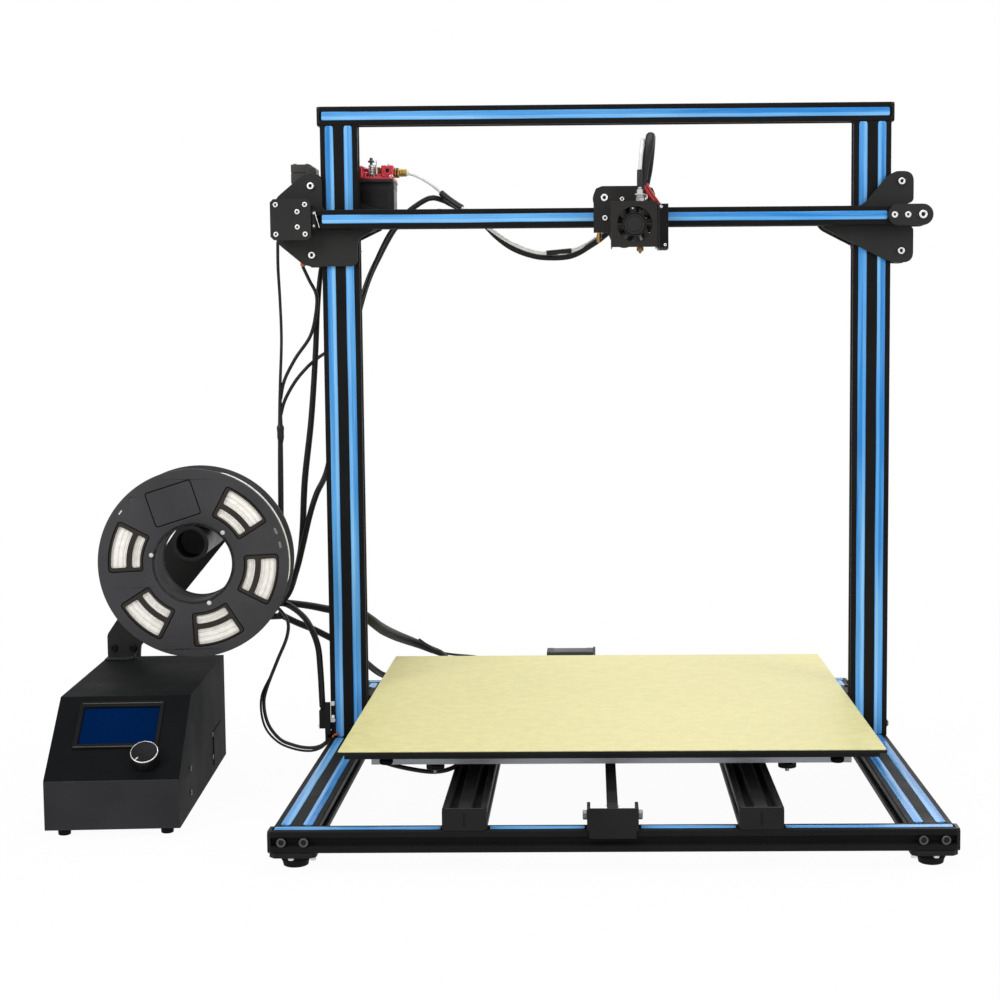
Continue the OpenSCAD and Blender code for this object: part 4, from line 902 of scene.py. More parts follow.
# ---------------------------------------------------------------- carriage and hot end
s = Shape("hotend_metal")
s.lathe([(2.2, 584), (4, 584), (4, 612), (2.2, 612)], "alu", HOT_END, 36, True)
fin = rounded([(-8, -3), (8, -3), (8, 11.5), (-8, 11.5)], 1)
for i in range(8):
    s.plate([fin], 586 + 3 * i, 587.3 + 3 * i, "alu", HOT_END, 0.2)
s.block(-8, 8, 8.4, 11.6, 582, 610, "alu", HOT_END, 0.4)
s.lathe([(0, 577), (2.9, 577), (2.9, 585)], "steel", HOT_END, 28)
s.block(-8, 8, -6, 10, 567.4, 577.4, "alu", HOT_END, 0.5)
s.pin(HOT_END @ move(-8.7, 5.6, 573.6) @ RIGHT, 3, 0, 17.4, "steel")
s.screw(HOT_END @ move(2, -6, 572.4) @ FRONT, 1.6, 1.0, "steel")
s.plate([ring(4.7, 6, 0.52)], 612, 616.8, "alu", HOT_END, 0.5)
s.lathe([(0, 616.8), (3.4, 616.8), (3.6, 617.2), (3.6, 619), (5.3, 619.2), (5.3, 620.6), (3.2, 621),
         (3.0, 624.6), (2.2, 625.6), (0, 625.6)], "dome", HOT_END, 36)
s.block(-8, 8, 8.4, 25.5, 590, 602, "alu", HOT_END, 0.5)
for x, z in CARRIAGE_WHEELS:
    at = move(x, 0, z) @ BACK
    s.screw(move(x, -10.5, z) @ FRONT, 3.8, 2.5, "steel", 0.48)
    s.bolt(at, 2.5, -10, 14.6, tip=0.4, thin=0.3)
    s.sleeve(at, -7.4, 0.8, "alu", c=0.4)
    s.nut(at, 11.2, 14.3, 4.1, 0.35)
s.screw(move(-0.8, -10.5, 597.7) @ FRONT, 2.9, 1.6, "steel", 0.45)
s.screw(move(17.2, -10.5, 617.3) @ FRONT, 2.3, 1.6, "steel", 0.45)
for x, y, z in ((56.5, -55.1, 606), (60.5, -55.1, 567)):
    s.screw(move(x, y, z) @ FRONT, 1.5, 0.8, "steel", 0.4)
s.done("carriage", ["hotend_metalwork"])

s = Shape("nozzle_and_stud")
s.lathe([(0, 559), (0.55, 559), (2.6, 561.7), (2.6, 562)], "nozzle", HOT_END, 32)
s.plate([ring(3.6, 6)], 561.6, 565.6, "nozzle", HOT_END, 0.3)
s.pin(HOT_END, 2.9, 565.4, 567.5, "nozzle")
at = move(-7.2, -9, 0)
s.lathe([(0, 572.4), (2.2, 572.4), (2.6, 572.9), (2.6, 576.2), (2.3, 576.5), (2.6, 576.8), (2.6, 581),
         (2.3, 581.4), (0, 581.4)], "brass", at, 28)
s.pin(at, 1.9, 581.3, 582.6, "orange", 24)
s.done("carriage", ["nozzle"])

s = Shape("turning_hotend_fan")
at = move(FAN_X, -49.8, FAN_Z) @ FRONT
s.lathe([(1.6, -3.8), (10.6, -3.8), (11, -3.4), (11, 2.1), (10.7, 2.5), (8.9, 2.6), (8.8, 1.5), (7.5, 1.5),
         (7.4, 2.6), (2, 2.6), (0, 2.6)], "fan", at, 56)
s.lathe([(9.9, 2.5), (10.6, 2.5), (10.6, 2.75), (9.9, 2.75)], "fan", at, 56, True)
for k in range(8):
    verts, faces = [], []
    for i in range(7):
        r = 10.6 + 7.4 * i / 6
        for j in range(5):
            a = math.radians(45 * k + 5 + (j - 2) * 7.6 - 6 * (i / 6))
            verts.append((r * math.cos(a), r * math.sin(a), -1.0 + (j - 2) * 1.25 + 0.35))
    m = len(verts)
    verts += [(x, y, z - 0.8) for x, y, z in verts]
    for i in range(6):
        for j in range(4):
            a = i * 5 + j
            faces += [[a, a + 5, a + 6, a + 1], [m + a, m + a + 1, m + a + 6, m + a + 5]]
    edge = [i * 5 for i in range(7)] + [30 + j for j in range(1, 5)] + [i * 5 + 4 for i in range(5, -1,
                                                                                                 -1)] + [3,
                                                                                                         2,
                                                                                                         1]
    for a, b in zip(edge, edge[1:] + edge[:1]):
        faces.append([a, m + a, m + b, b])
    s.add(verts, faces, "fan", at)
s.done("hotend_fan_body", ["hotend_fan"])

s = Shape("turning_blower")
at = move(58.4, -36, 586) @ RIGHT
s.lathe([(1.6, -3), (8.6, -3), (9, -2.6), (9, 2), (8.6, 2.4), (2, 2.4), (0, 2.2)], "fan", at, 48)
s.lathe([(8.8, -3), (15.3, -3), (15.3, -2.2), (8.8, -2.2)], "fan", at, 56, True)
s.lathe([(14.6, 2.5), (15.4, 2.5), (15.4, 3), (14.6, 3)], "fan", at, 56, True)
for k in range(23):
    vane = at @ turn("Z", 360 / 23 * k) @ move(13.7, 0, 0) @ turn("Z", 28) @ move(-13.7, 0, 0)
    s.block(12.2, 15.3, -0.35, 0.35, -2.4, 2.7, "fan", vane, 0.1)
s.done("blower_wheel_body", ["blower_wheel"])

s = Shape("fan_ring")
at = move(FAN_X, -53.9, FAN_Z) @ FRONT
s.lathe([(18.5, -1.2), (18.5, 0), (19.0, 0.1), (19.1, 0.35), (18.3, 0.35), (18.0, 0), (18.0, -1.2)],
        "cover", at, 72, True)
at = move(FAN_X, -49.6, FAN_Z) @ FRONT
s.lathe([(11.6, 2.9), (12.5, 2.9), (12.5, 3.6), (11.6, 3.6)], "cover", at, 64, True)
for k in range(4):
    s.block(12, 18.7, -0.6, 0.6, 2.9, 3.6, "cover", at @ turn("Z", 90 * k), 0.1)
s.block(5.6, 52.4, -54.2, -53.9, 609.6, 611.6, "cover", HERE, 0.12)
s.lathe([(0, 0), (0.9, 0), (0.8, 0.4), (0, 0.5)], "dome", move(27.2, -54, 604.6) @ FRONT, 20)
s.block(53.8, 54.5, -55.4, -18, 564, 608.6, "cover", HERE, 0.2)
s.block(54.2, 63.6, -55.3, -54.9, 564.6, 608, "frame", HERE, 0.15)
s.done("carriage", [])


# ---------------------------------------------------------------- cables, sleeves and the feed tube
def cable(name, parts, a, b=None, replaces=()):
    """Cables that ride on body a, or, when b is given, ride on no body with their placement baked in."""
    s = Shape(name)
    for pts, r, mat in parts:
        s.tube(pts, r, mat, 10 if (max(r) if isinstance(r, list) else r) > 1.5 else 8)
    if b is None:
        s.done(a, replaces, 60)
        return
    ob = s.done(None, replaces, 60)
    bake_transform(ob)


tube_pts = [(-216, 66, 653.4), (-202, 62, 648), (-184, 54, 636), (-171, 46, 623), (-155, 38, 613),
            (-138, 33, 600), (-122, 31, 588), (-105, 31, 576.5), (-84, 31.5, 567), (-64, 32, 563.5),
            (-37, 34, 566), (-17, 40, 575), (2, 47, 589), (22, 54, 604), (38, 50, 626), (41, 40, 648),
            (40.5, 28, 668), (40, 10, 680), (38.5, -12, 677), (36.5, -28, 660), (35.2, -35, 642),
            (35.2, -36, 626)]
har_pts = [(-224, 46, 600), (-210, 40, 612), (-191, 46, 624), (-178, 54, 623), (-166, 50, 617),
           (-150, 44, 609), (-133, 38, 597), (-118, 36.5, 582), (-102, 36.5, 570), (-84, 37, 562.5),
           (-65, 38, 559), (-38, 41, 560.5), (-17, 37, 571), (0, 36, 583), (20, 41, 602), (40, 50, 625),
           (46, 48, 648), (48, 34, 670), (48, 10, 683), (46.5, -8, 677), (43, -20, 660), (38.5, -31, 632),
           (37, -31, 616)]
sleeve = [3.0] * 5 + [3.1] * 9 + [3.4] * 2 + [4.6, 5.2, 5.4, 5.2, 4.6, 4.2, 4.0]
cable("feed_tube", [
    (tube_pts, 2.0, "tube"),
    ([(-178, 50, 630), (-167, 43.5, 621), (-155, 38, 613)], 3.5, "wire"),
    ([Vector(p) for p in tube_pts[9:11]], 2.9, "wire"),
    ([(35.4, -34.5, 645), (35.2, -35.6, 637), (35.2, -36, 627.5)], 3.2, "wire"),
], "gantry", "carriage", ["bowden_tube"])
cable("head_harness", [
    (har_pts, sleeve, "cable"),
    ([(-222, 50, 598), (-206, 46, 603), (-190, 50, 610), (-176, 47, 611), (-160, 42, 603), (-143, 36, 594)],
     1.5, "wire"),
    ([(39, -33, 630), (44, -34, 621), (50, -33.5, 613), (56, -33, 606)], 1.9, "redwire"),
    ([(42, -31.5, 631), (47, -31, 622), (53.5, -30.5, 613), (58.5, -31, 606)], 1.8, "redwire"),
    ([(38, -33, 630), (38.5, -33.5, 621), (39.5, -34, 611)], 1.3, "redwire"),
], "gantry", "carriage", ["hotend_harness"])
for nm, pts, r in (
        ("lift_lead_a", [(-366, 70, 190), (-364, 66, 228), (-362, 62, 284), (-361, 60, 329),
                         (-360, 58, 373), (-359, 56, 418), (-356, 54, 472), (-356, 50, 516),
                         (-356, 42, 551), (-354, 32, 578)], [3.3, 3.3, 3.2, 3.1, 2.8, 1.7, 1.6, 1.6, 1.7,
                                                             1.7]),
        ("lift_lead_b", [(-359, 58, 407), (-354, 56, 428), (-341, 54, 452), (-324, 52, 476),
                         (-317, 50, 501), (-316, 50, 521), (-323, 50, 536), (-330, 48, 552)], 1.9),
        ("lift_lead_c", [(-368, 78, 176), (-355, 72, 193), (-344, 68, 228), (-339, 66, 261),
                         (-335, 64, 317), (-326, 60, 384), (-320, 58, 450), (-316, 58, 510),
                         (-312, 66, 552), (-304, 74, 580)], [3.1, 3.2, 3.3, 3.5, 3.6, 3.4, 3.2, 3.0, 2.8,
                                                             2.8]),
        ("lift_lead_d", [(-359, 58, 390), (-354, 56, 406), (-342, 52, 426), (-328, 50, 442),
                         (-318, 62, 452), (-306, 80, 462), (-290, 92, 480), (-272, 84, 514),
                         (-256, 66, 550), (-240, 62, 582), (-228, 66, 600)], 1.9),
        ("lift_lead_e", [(-362, 72, 186), (-348, 66, 212), (-338, 62, 246), (-330, 60, 277),
                         (-322, 62, 302), (-312, 84, 330), (-300, 96, 400), (-284, 94, 470),
                         (-266, 84, 530), (-248, 74, 566), (-232, 78, 594), (-222, 82, 600)], 3.3)):
    parts = [(pts, r, "wire" if nm[-1] in "abd" else "cable")]
    if nm == "lift_lead_a":  # the knot where it leaves the bundle
        knot = [(-359.8, 57.8, 359), (-359.8, 57.7, 365), (-359.8, 57.6, 371), (-359.8, 57.5, 376),
                (-359.8, 57.4, 380)]
        parts.append((knot, [2.6, 3.8, 3.8, 4.2, 2.4], "wire"))
    cable(nm, parts, "frame", "gantry")
s = Shape("lead_glands")
s.lathe([(0, 0), (2.6, 0), (2.8, 0.4), (2.8, 8), (0, 8)], "orange", move(-329, 44, 552) @ turn("X", 14), 24)
s.done("gantry", [])
cable("bed_lead_main", [
    ([(-372, 98, 176), (-354, 103, 173), (-336, 105, 170), (-317, 106, 166), (-299, 108, 163),
      (-282, 112, 160), (-272, 130, 149), (-264, 170, 133), (-254, 215, 118), (-242, 245, 107),
      (-228, 258, 99), (-214, 262, 92), (-204, 262, 88), (-196, 256, 83), (-188, 240, 78), (-184, 226, 76)],
     [3.8, 3.9, 4.1, 4.4, 4.8, 5.6, 6.2, 6.5, 6.3, 5.8, 5.0, 4.3, 3.9, 3.6, 3.4, 3.2], "cable"),
    ([(-228, 244, 108), (-218, 252, 99), (-204, 262, 89), (-186, 266, 85), (-168, 268, 83), (-154, 258, 82),
      (-150, 236, 78)], 1.5, "wire"),
], "frame", "bed")
cable("bed_lead_second", [
    ([(-374, 98, 163), (-354, 102, 152), (-336, 104, 144), (-317, 105, 134), (-299, 106, 124),
      (-285, 112, 111), (-278, 128, 100), (-272, 148, 89), (-265, 172, 78), (-254, 184, 72),
      (-240, 186, 70)], 3.8, "cable"),
], "frame", "bed")
cable("frame_leads", [
    ([(-378, 98, 174), (-361, 80, 176), (-342, 60, 168), (-330, 46, 157), (-320, 36, 136), (-317, 32, 110),
      (-315.5, 29, 84), (-315, 29, 69)], 3.4, "cable"),
    ([(-372, 84, 172), (-358, 66, 160), (-357, 54, 143), (-367, 44, 117), (-378, 38, 88), (-381, 36, 70),
      (-376, 33, 49), (-363, 30, 33), (-348, 27, 27), (-335, 27, 24), (-323, 28, 24), (-315, 29, 27),
      (-309, 30, 33), (-307.4, 31, 42)], 1.9, "wire"),
    ([(-357, 54, 143), (-371, 41, 107), (-384, 38, 78), (-381, 35, 48), (-366, 31, 30), (-346, 28, 22),
      (-328, 28, 20), (-316, 29, 24), (-308.6, 30, 31)], 1.3, "wire"),
    ([(-524, 78, 80), (-534, 92, 105), (-532, 104, 138), (-505, 106, 156), (-470, 106, 164),
      (-425, 105, 169), (-392, 102, 172), (-366, 98, 176)], 4.2, "cable"),
    ([(-536, 78, 60), (-546, 92, 90), (-542, 104, 122), (-515, 104, 140), (-470, 104, 150),
      (-425, 104, 156), (-392, 104, 158), (-368, 98, 160)], 3.6, "cable"),
    ([(-530, 78, 72), (-541, 98, 104), (-538, 112, 142), (-505, 114, 160), (-455, 112, 170),
      (-405, 104, 174), (-382, 92, 181), (-364, 78, 190)], 2.8, "cable"),
], "frame", None, replaces=["link_cables"])
cable("bed_sag_lead", [
    ([(-246, -120, 66), (-240, -160, 62), (-222, -196, 60), (-196, -204, 55), (-171, -204, 52),
      (-152, -200, 56), (-138, -180, 66)], 2.3, "cable"),
], "bed", None)

# ---------------------------------------------------------------- bed
s = Shape("bed_skin")
out = rect(-254.5, 254.5, -285.5, 223.5, 3)
s.plate([out], 89.85, 91, "mat", HERE, 0.35)
s.done("bed", ["bed_surface"])
s = Shape("bed_extras")
for sx in SIDES:
    for q in SIDES:
        at = move(sx * KNOB_X, BED_Y + q * KNOB_DY, 0)
        coil = [at @ Vector((4.2 * math.cos(i / 2), 4.2 * math.sin(i / 2),
                             69 + 15.6 * i / 63)) for i in range(64)]
        s.tube(coil, 0.6, "steel", 6, 2)
        s.lathe([(0, 0), (6, 0), (6.4, 0.6), (6.4, 3), (5.4, 4.6), (0, 5)], "rubber",
                move(sx * 211, -270, 80.2) @ turn("X", 180), 32)
    for q in SIDES:
        s.screw(move(sx * BED_WHEEL_X, BED_Y + q * 60, 37.4) @ turn("X", 180), 4.2, 1.2, "steel")
for q in SIDES:
    for x in (-226.6, 226.6):
        s.block(-1, 1, -9, -3, 70, 80, "alu", move(x, BED_Y + q * KNOB_DY, 0), 0.3)
        s.block(-1, 1, 3, 9, 70, 80, "alu", move(x, BED_Y + q * KNOB_DY, 0), 0.3)
s.block(-22, 22, 205, 222, 76, 84.6, "plastic", HERE, 1, 2)
s.done("bed", [])


def knurled(s, at, r, z0, z1, n, mat, depth, hole=0.0):
    """Knob with n soft grooves round its side."""
    prof = []
    for i in range(n):
        a = 2 * math.pi * i / n
        w = 2 * math.pi / n
        for k, d in ((0, depth), (0.25, depth * 0.15), (0.5, 0), (0.75, depth * 0.15)):
            prof.append(((r - d) * math.cos(a + k * w), (r - d) * math.sin(a + k * w)))
    loops = [prof, bore(hole, 32)] if hole else [prof]
    s.plate(loops, z0, z1, mat, at, 0.5)


for i, (sx, q) in enumerate(((-1, -1), (1, -1), (-1, 1), (1, 1))):
    s = Shape(f"turning_level_knob_{i + 1}")
    at = move(sx * KNOB_X, BED_Y + q * KNOB_DY, 62.6)
    knurled(s, at, 8.7, 0, 4.6, 18, "plastic", 0.9, 2.05)
    s.lathe([(2.05, 4.4), (5, 4.4), (5, 5.8), (4.6, 6.2), (2.05, 6.2)], "plastic", at, 40, True)
    s.done(f"level_knob_{i + 1}_body", [f"level_knob_{i + 1}"])

# ---------------------------------------------------------------- control box
s = Shape("screen")
s.plate([rect(-37.8, 35.8, 43.2, 89.3, 0.5)], -3.4, -0.4, "screen", SLOPE, 0.2)
s.done("frame", ["lcd_screen"])
s = Shape("box_panels")
bez_o, bez_i = rect(-43, 39.4, 38, 97, 1), rect(-38.6, 35.6, 43.4, 89.6, 1)[::-1]
s.plate([bez_o, bez_i], -0.8, 1.5, "bezel", SLOPE, 0.35)
# Two thin lighter lines along the bezel's top and bottom are painted highlights
s.block(-40, 37.6, 93.6, 94.4, 1.3, 1.85, "glint", SLOPE, 0.15)
s.block(-42, 20, 39.2, 40, 1.3, 1.85, "glint", SLOPE, 0.15)
s.plate([rect(-63.9, 63.9, 0.6, 47.6, 1.2)], -0.2, 1.3, "boxfront", BOX @ move(0, 0, 8) @ FRONT, 0.45)
# Placement on the right side of the box: the shape's X points to the back, its Y up and its Z to the right
SIDE = Matrix(((0, 0, 1, 0), (1, 0, 0, 0), (0, 1, 0, 0), (0, 0, 0, 1)))
s.plate([rect(0, 62, 0, 38, 3)], 0, 1.0, "box", BOX @ move(64, 218, 16) @ SIDE, 0.4)
for x in (-58, 58):
    for z in (16, 110):
        s.screw(BOX @ move(x, BOX_BACK, z) @ BACK, 2.4, 1.2, "blacksteel")
fanb = BOX @ move(30, BOX_BACK, 66) @ BACK
s.plate([rect(-22, 22, -22, 22, 3), bore(19.4, 48)], 0, 1.6, "plastic", fanb, 0.4)
for r in (4, 8, 12, 16):
    s.lathe([(r - 0.5, 0.9), (r + 0.5, 0.9), (r + 0.5, 1.6), (r - 0.5, 1.6)], "steel", fanb, 48, True)
for a in (45, 135):
    s.block(-20, 20, -0.5, 0.5, 0.5, 1.2, "steel", fanb @ turn("Z", a), 0.15)
inlet = BOX @ move(-20, BOX_BACK, 66) @ BACK
s.plate([rect(-13, 13, -10, 10, 2), rect(-10.5, 10.5, -7.5, 7.5, 1.5)[::-1]], 0, 1.6, "plastic", inlet, 0.4)
s.block(-10.4, 10.4, -7.4, 7.4, -0.2, 0.5, "rubber", inlet, 0.1)
for x in (-6, 0, 6):
    s.block(x - 0.8, x + 0.8, -3, 3, 0.3, 1.3, "steel", inlet, 0.2)
s.done("frame", [])

s = Shape("holder")
arm = rounded([(-63, 121), (-36, 121), (-35, 123), (80, 262), (84, 280), (78, 288), (33, 288), (-63, 147)],
              3, 4)
s.plate([arm, [(ROD_X + x, ROD_Z + y) for x, y in bore(15.4, 48)]], 0, 2, "sheet",
        BOX @ move(0, 306, 0) @ FRONT, 0.4)
s.block(-63, -35, 286, 304.3, 121, 123, "sheet", BOX, 0.4, 2)
rod = BOX @ move(ROD_X, 304, ROD_Z) @ FRONT
s.lathe([(15.4, 0), (17.4, 0), (17.4, 146), (18.2, 146.2), (18.6, 147), (18.6, 148.3), (17.9, 149),
         (15, 149), (14.4, 148.4), (14.2, 146.4), (15.4, 145.6)], "plastic", rod, 80, True)
s.lathe([(15.4, 112), (15.4, 114), (14.6, 114.8), (8, 113.4), (0, 113.4)], "sheet", rod, 64)
s.done("frame", ["spool_holder"])

s = Shape("turning_encoder")
at = KNOB
s.lathe([(0, 0), (3, 0), (3, 2)], "steel", at, 24)
knurled(s, at, 13.1, 0.8, 13.6, 60, "knob", 0.28)
s.lathe([(13.0, 13.5), (13.15, 13.7), (13.15, 14.1), (12.7, 14.7), (12.5, 14.7), (12.5, 14.2)], "steel", at,
        72)
s.lathe([(12.6, 14.3), (12.3, 14.45), (0, 14.1)], "knobtop", at, 72)
s.block(8.4, 12.0, -0.55, 0.55, 14.1, 14.75, "dome", at @ turn("Z", 233), 0.15)
s.lathe([(3.1, -7), (3.1, 1)], "steel", at, 24)
s.done("encoder_knob_body", ["encoder_knob"])

s = Shape("turning_rocker")
at = BOX @ move(-20, 310, 37) @ RIGHT
s.plate([rounded([(-6.4, -1.4), (6.4, -1.4), (6.4, 2), (0, 3.4), (-6.4, 4.6)], 0.8)], -9, 9, "plastic", at,
        0.5)
s.pin(at, 1.2, -9.7, 9.7, "plastic", 24)
s.block(-4.6, -3.4, 4.0, 4.75, -4, 4, "dome", at, 0.1)
s.done("power_rocker_body", ["power_rocker"])


# ---------------------------------------------------------------- spool
def arc(r, centre, half, n):
    """Points on a circle, from centre - half to centre + half degrees."""
    mid = math.radians(centre)
    turns = [math.radians(half * (-1 + 2 * i / (n - 1))) for i in range(n)]
    return [(r * math.cos(mid + t), r * math.sin(mid + t)) for t in turns]


def sector(r0, r1, a0, a1, rc, n=10):
    """Window between two radii and two angles, its corners rounded."""
    t0, t1 = math.radians(a0), math.radians(a1)
    out = [t0 + (t1 - t0) * i / n for i in range(n + 1)]
    back = [t1 - (t1 - t0) * i / n for i in range(n + 1)]
    pts = [(r1 * math.cos(t), r1 * math.sin(t)) for t in out] + [(r0 * math.cos(t),
                                                                  r0 * math.sin(t)) for t in back]
    return rounded_at(pts, (0, n, n + 1, 2 * n + 1), rc, 4)


def frame_loop(a, grow=0.0):
    """Outline round one pair of windows, centred on angle a."""
    pts = arc(88, a, 18.6, 9) + arc(52, a, -21.0, 9)
    out = rounded_at(pts, (0, 8, 9, 17), 4, 5)
    return inset(out, grow) if grow else out


def turned(points, a):
    """Points (outwards, sideways) turned to angle a of the spool."""
    t = math.radians(a)
    return [(u * math.cos(t) - v * math.sin(t), u * math.sin(t) + v * math.cos(t)) for u, v in points]


WINDOWS = [-12.5 + 60 * k for k in (0, 1, 3, 4, 5)]
# Small slots in each flange by angle, each filled with a grey or white piece: a painted glint
SLOT_GLINTS = ((21, "cast"), (11.6, "cast"), (254.6, "glint"), (264, "glint"), (143.8, "dome"), (133, "glint"))


def flange(s, z0, z1, front):
    """Spool side from z0 to z1; its outer face is at z1 when front, else at z0."""
    panel = rounded(turned([(46.7, -24.8), (84.6, -24.8), (84.6, 24.8), (46.7, 24.8)], 107.5), 3.5)
    slots = []
    for a, mat in SLOT_GLINTS:
        hu, hv = (1.3, 3.3) if mat == "cast" else (0.8, 2.7)
        slots.append((turned([(91.5 - hu, -hv), (91.5 + hu, -hv), (91.5 + hu, hv), (91.5 - hu, hv)], a),
                      mat))
    openings = [frame_loop(a) for a in WINDOWS] + [panel] + [x for x, _ in slots]
    s.plate([ring(SPOOL_R, 120), bore(HUB_R, 96)] + [x[::-1] for x in openings], z0, z1, "spool", SPOOL,
            0.45)
    lo, hi = (z0 + 0.6, z1 - 0.55) if front else (z0 + 0.55, z1 - 0.6)
    for a in WINDOWS:
        inner = sector(55.2, 63.6, a - 16, a + 16, 2.0)[::-1]
        outer = sector(69.4, 85.2, a - 15.4, a + 15.4, 2.2)[::-1]
        s.plate([frame_loop(a, 1.0), inner, outer], lo, hi, "spoolin", SPOOL, 0.4)
        # Dark plates behind the gaps round each frame and round the panel are painted shadow
        s.plate([frame_loop(a, -0.2), inner, outer], z0 + 0.9, z1 - 0.9, "groove", SPOOL, 0)
    s.plate([inset(panel, 1.0)], lo, hi + (0.35 if front else 0), "spool", SPOOL, 0.4)
    s.plate([inset(panel, -0.2)], z0 + 0.9, z1 - 0.9, "groove", SPOOL, 0)
    # The slot fills are painted glints
    for x, mat in slots:
        s.plate([inset(x, 0.05)], lo, hi, mat, SPOOL, 0.1)
    for a in (46, 168, 290):
        x, y = turned([(44.2, 0)], a)[0]
        at = SPOOL @ move(x, y, z1 if front else z0) @ (HERE if front else turn("X", 180))
        s.lathe([(0, -0.1), (2.3, -0.1), (2.3, 0.3), (1.7, 0.75), (0.6, 0.95), (0, 0.8)], "dome", at, 28)


s = Shape("turning_spool")
flange(s, -3, 0, True)
flange(s, -SPOOL_T, 3 - SPOOL_T, False)
hub = [(HUB_R, -SPOOL_T), (42.6, -SPOOL_T), (42.6, 0), (HUB_R, 0), (40.1, -0.8), (40.1, 0.8 - SPOOL_T)]
s.lathe(hub, "spool", SPOOL, 96, True)
s.done("spool", ["spool_flanges"])
s = Shape("turning_filament")
for zs, d, k in ((-52.4, -1, 37.0), (-3.7, 1, 53.0)):
    for i in range(26):
        r, jz = 42.8 + 1.73 * i, 0.22 * wave(i * k, 5, 50)
        low, high = zs + (jz + 0.05) * d, zs + (jz + 0.38) * d
        prof = [(r, zs), (r + 0.15, low), (r + 0.5, high), (r + 1.25, high), (r + 1.6, low), (r + 1.73, zs)]
        shaded = wave(i * 61.0, k, 90) > 0.08 or i % 7 == 3
        s.lathe(prof if d > 0 else prof[::-1], "fil2" if shaded else "fil", SPOOL, 84)
for i in range(28):
    z = -52.4 + 1.74 * i
    prof = [(87.2, z), (88, z + 0.4), (88, z + 1.2), (87.2, z + 1.74)]
    s.lathe(prof, "fil2" if i % 5 == 2 else "fil", SPOOL, 84)
s.lathe([(42.7, -52.4), (42.7, -3.7)], "fil2", SPOOL, 48)
strand = []
for i in range(64):
    a = math.radians(84 - 112 * i / 63)
    r = 97.8 - 7.4 * max(0, (i - 52) / 11) ** 1.5 - 7.0 * max(0, (8 - i) / 8) ** 1.5
    strand.append(SPOOL @ Vector((r * math.cos(a), r * math.sin(a), -12)))
s.tube(strand, [0.3 + 0.6 * min(1, i / 14, (63 - i) / 10) for i in range(64)], "fil", 8, 2.2)
s.done("spool", ["filament"], 50)

# ---------------------------------------------------------------- small parts on the frame and gantry
s = Shape("frame_small_parts")
for sx in SIDES:
    for q in SIDES:
        f = move(sx * 305.0, q * 350, 26) @ (RIGHT if sx > 0 else LEFT)
        s.plate([rect(-7.5, 7.5, -7.5, 7.5, 2)], 2.9, 3.3, "plastic", f, 0.15)
s.block(-319.4, -316.9, 24, 31, 47, 50, "steel", HERE, 0.2)
s.tube([(-303, 20.5, 37), (-301, 19, 39.5), (-298.5, 19, 40.5), (-297, 20.5, 38.5)], 1.2, "orange", 8)
s.block(-304, -300.2, 17.6, 21.8, 72.5, 77, "dome", HERE, 0.4)
s.block(-304.6, -299.8, 18, 21.8, 54, 58, "dome", HERE, 0.5)
s.block(-303.6, -300.4, 17.6, 21.8, 58.4, 62, "steel", HERE, 0.3)
s.block(-311.2, -305.2, 19, 22, 40, 76, "plastic", HERE, 0.5)
s.done("frame", [])

s = Shape("gantry_small_parts")
for sx in SIDES:
    s.screw(move(sx * 262, 16, 566) @ FRONT, 0.9, 0.35, "blacksteel")
for x, z in ((-290, BEAM_Z), (-276, BEAM_Z), (262, BEAM_Z), (276, BEAM_Z)):
    s.screw(move(x, 18.9, z) @ BACK, 3.0, 2.2, "steel")
s.done("gantry", [])

# ---------------------------------------------------------------- floor, light and camera
floor = bpy.data.meshes.new("floor")
FLOOR_HALF, FLOOR_BACK, FLOOR_CELLS = 3.2, 0.6, 24
n = FLOOR_CELLS
row = n + 1
spots = [FLOOR_HALF * (i / n - 0.5) * 2 for i in range(row)]
corners = [j * row + i for j in range(n) for i in range(n)]
quads = [[c, c + 1, c + row + 1, c + row] for c in corners]
floor.from_pydata([(x, y + FLOOR_BACK, 0) for y in spots for x in spots], [], quads)
floor_ob = bpy.data.objects.new("floor", floor)
bpy.context.scene.collection.objects.link(floor_ob)
paint = bpy.data.materials.new("floor_pale")
node = shader(paint)
# The floor takes soft shadows near the object, and fades to a plain bright ground away from it
distance = node("VectorMath", (node("TexCoord").outputs["Object"],), operation="LENGTH").outputs["Value"]
fade = node("MapRange", (distance, 0.55, 1.5, 0.96, 1.0)).outputs[0]
shaded = node("BsdfDiffuse", {"Color": (0.9, 0.9, 0.9, 1)}).outputs[0]
bright = node("Emission", {"Color": (1, 1, 1, 1), "Strength": 1.0}).outputs[0]
node("OutputMaterial", (node("MixShader", (fade, shaded, bright)).outputs[0],))
floor.materials.append(paint)

world = bpy.data.worlds.new("studio")
bpy.context.scene.world = world
node = shader(world)
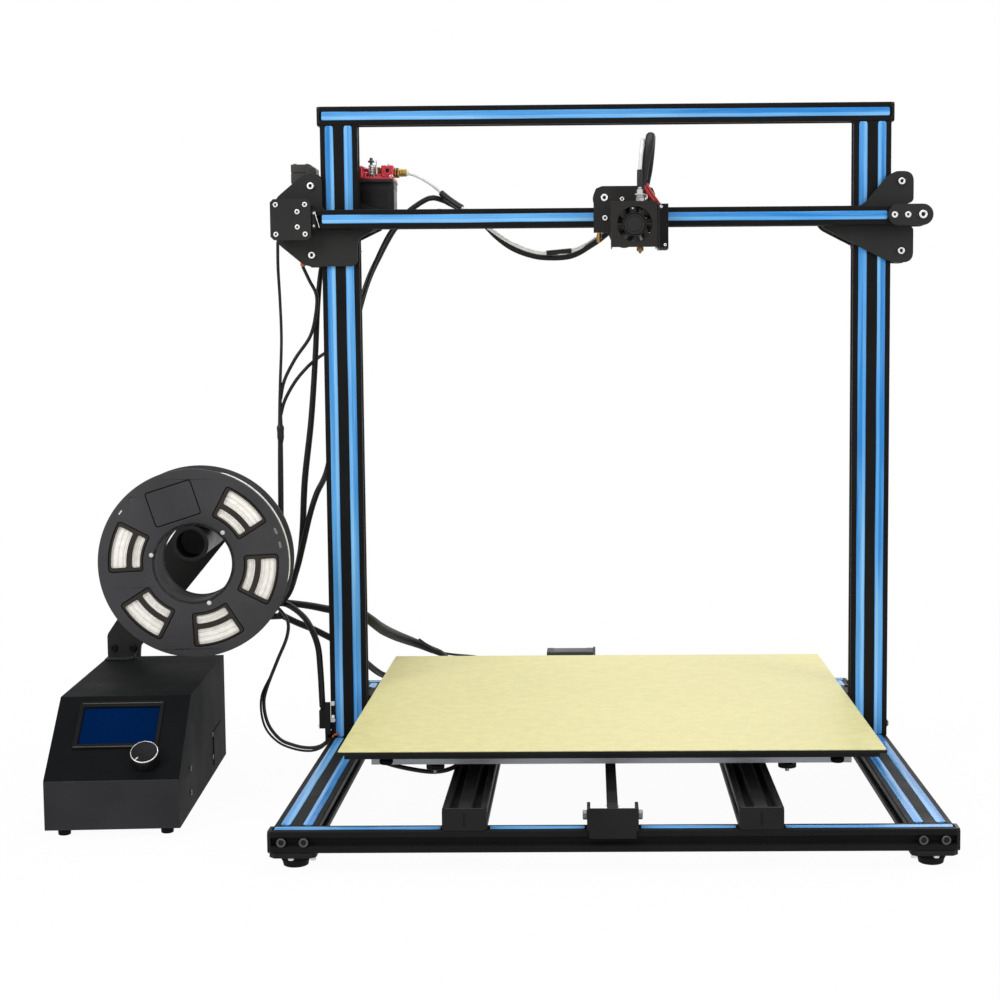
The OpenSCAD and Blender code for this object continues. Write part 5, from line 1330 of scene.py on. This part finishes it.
# Dimmer for the light that falls on the object than for what the camera and mirror-like surfaces see
rays = node("LightPath").outputs
seen = node("Math", (rays["Is Camera Ray"], rays["Is Glossy Ray"]), operation="MAXIMUM").outputs[0]
dim, full = (node("Background", {"Color": (1, 1, 1, 1), "Strength": v}).outputs[0] for v in (0.45, 1.0))
node("OutputWorld", (node("MixShader", (seen, dim, full)).outputs[0],))


def softbox(name, at, aim, w, h, power):
    li = bpy.data.lights.new(name, "AREA")
    li.shape = "RECTANGLE"
    li.size, li.size_y, li.energy = w, h, power
    ob = bpy.data.objects.new(name, li)
    bpy.context.scene.collection.objects.link(ob)
    ob.location = at
    ob.rotation_euler = (Vector(aim) - Vector(at)).to_track_quat("-Z", "Y").to_euler()


# Name, place, aim, width, height and power, in metres and watts
softbox("key_left", (-1.5, -1.9, 1.7), (-0.1, 0, 0.3), 1.1, 1.4, 26)
softbox("fill_right", (1.7, -1.6, 1.0), (0, 0, 0.35), 1.0, 1.3, 14)
softbox("top", (0, 0.2, 2.3), (0, 0, 0), 1.8, 1.4, 20)
softbox("rim_back", (0.6, 2.0, 1.4), (0, 0, 0.4), 1.6, 1.0, 12)

cam = bpy.data.cameras.new("camera")
cam.lens = 65.142
cam.sensor_width = 36
cam.shift_x = -0.0701
cam.clip_start, cam.clip_end = 0.05, 50
cam_ob = bpy.data.objects.new("camera", cam)
bpy.context.scene.collection.objects.link(cam_ob)
yaw, pitch, roll = (math.radians(x) for x in (-0.65, -5.06, -0.42))
forward = Vector((math.sin(yaw) * math.cos(pitch), math.cos(yaw) * math.cos(pitch), math.sin(pitch)))
level = Vector((math.cos(yaw), -math.sin(yaw), 0))
above = level.cross(forward)
right = level * math.cos(roll) + above * math.sin(roll)
upward = above * math.cos(roll) - level * math.sin(roll)
facing = Matrix((right, upward, -forward)).transposed()
cam_ob.matrix_world = move(-0.01804, -1.93522, 0.4702) @ facing.to_4x4()
bpy.context.scene.camera = cam_ob
bpy.context.scene.view_settings.view_transform = "Standard"
bpy.context.scene.view_settings.look = "None"
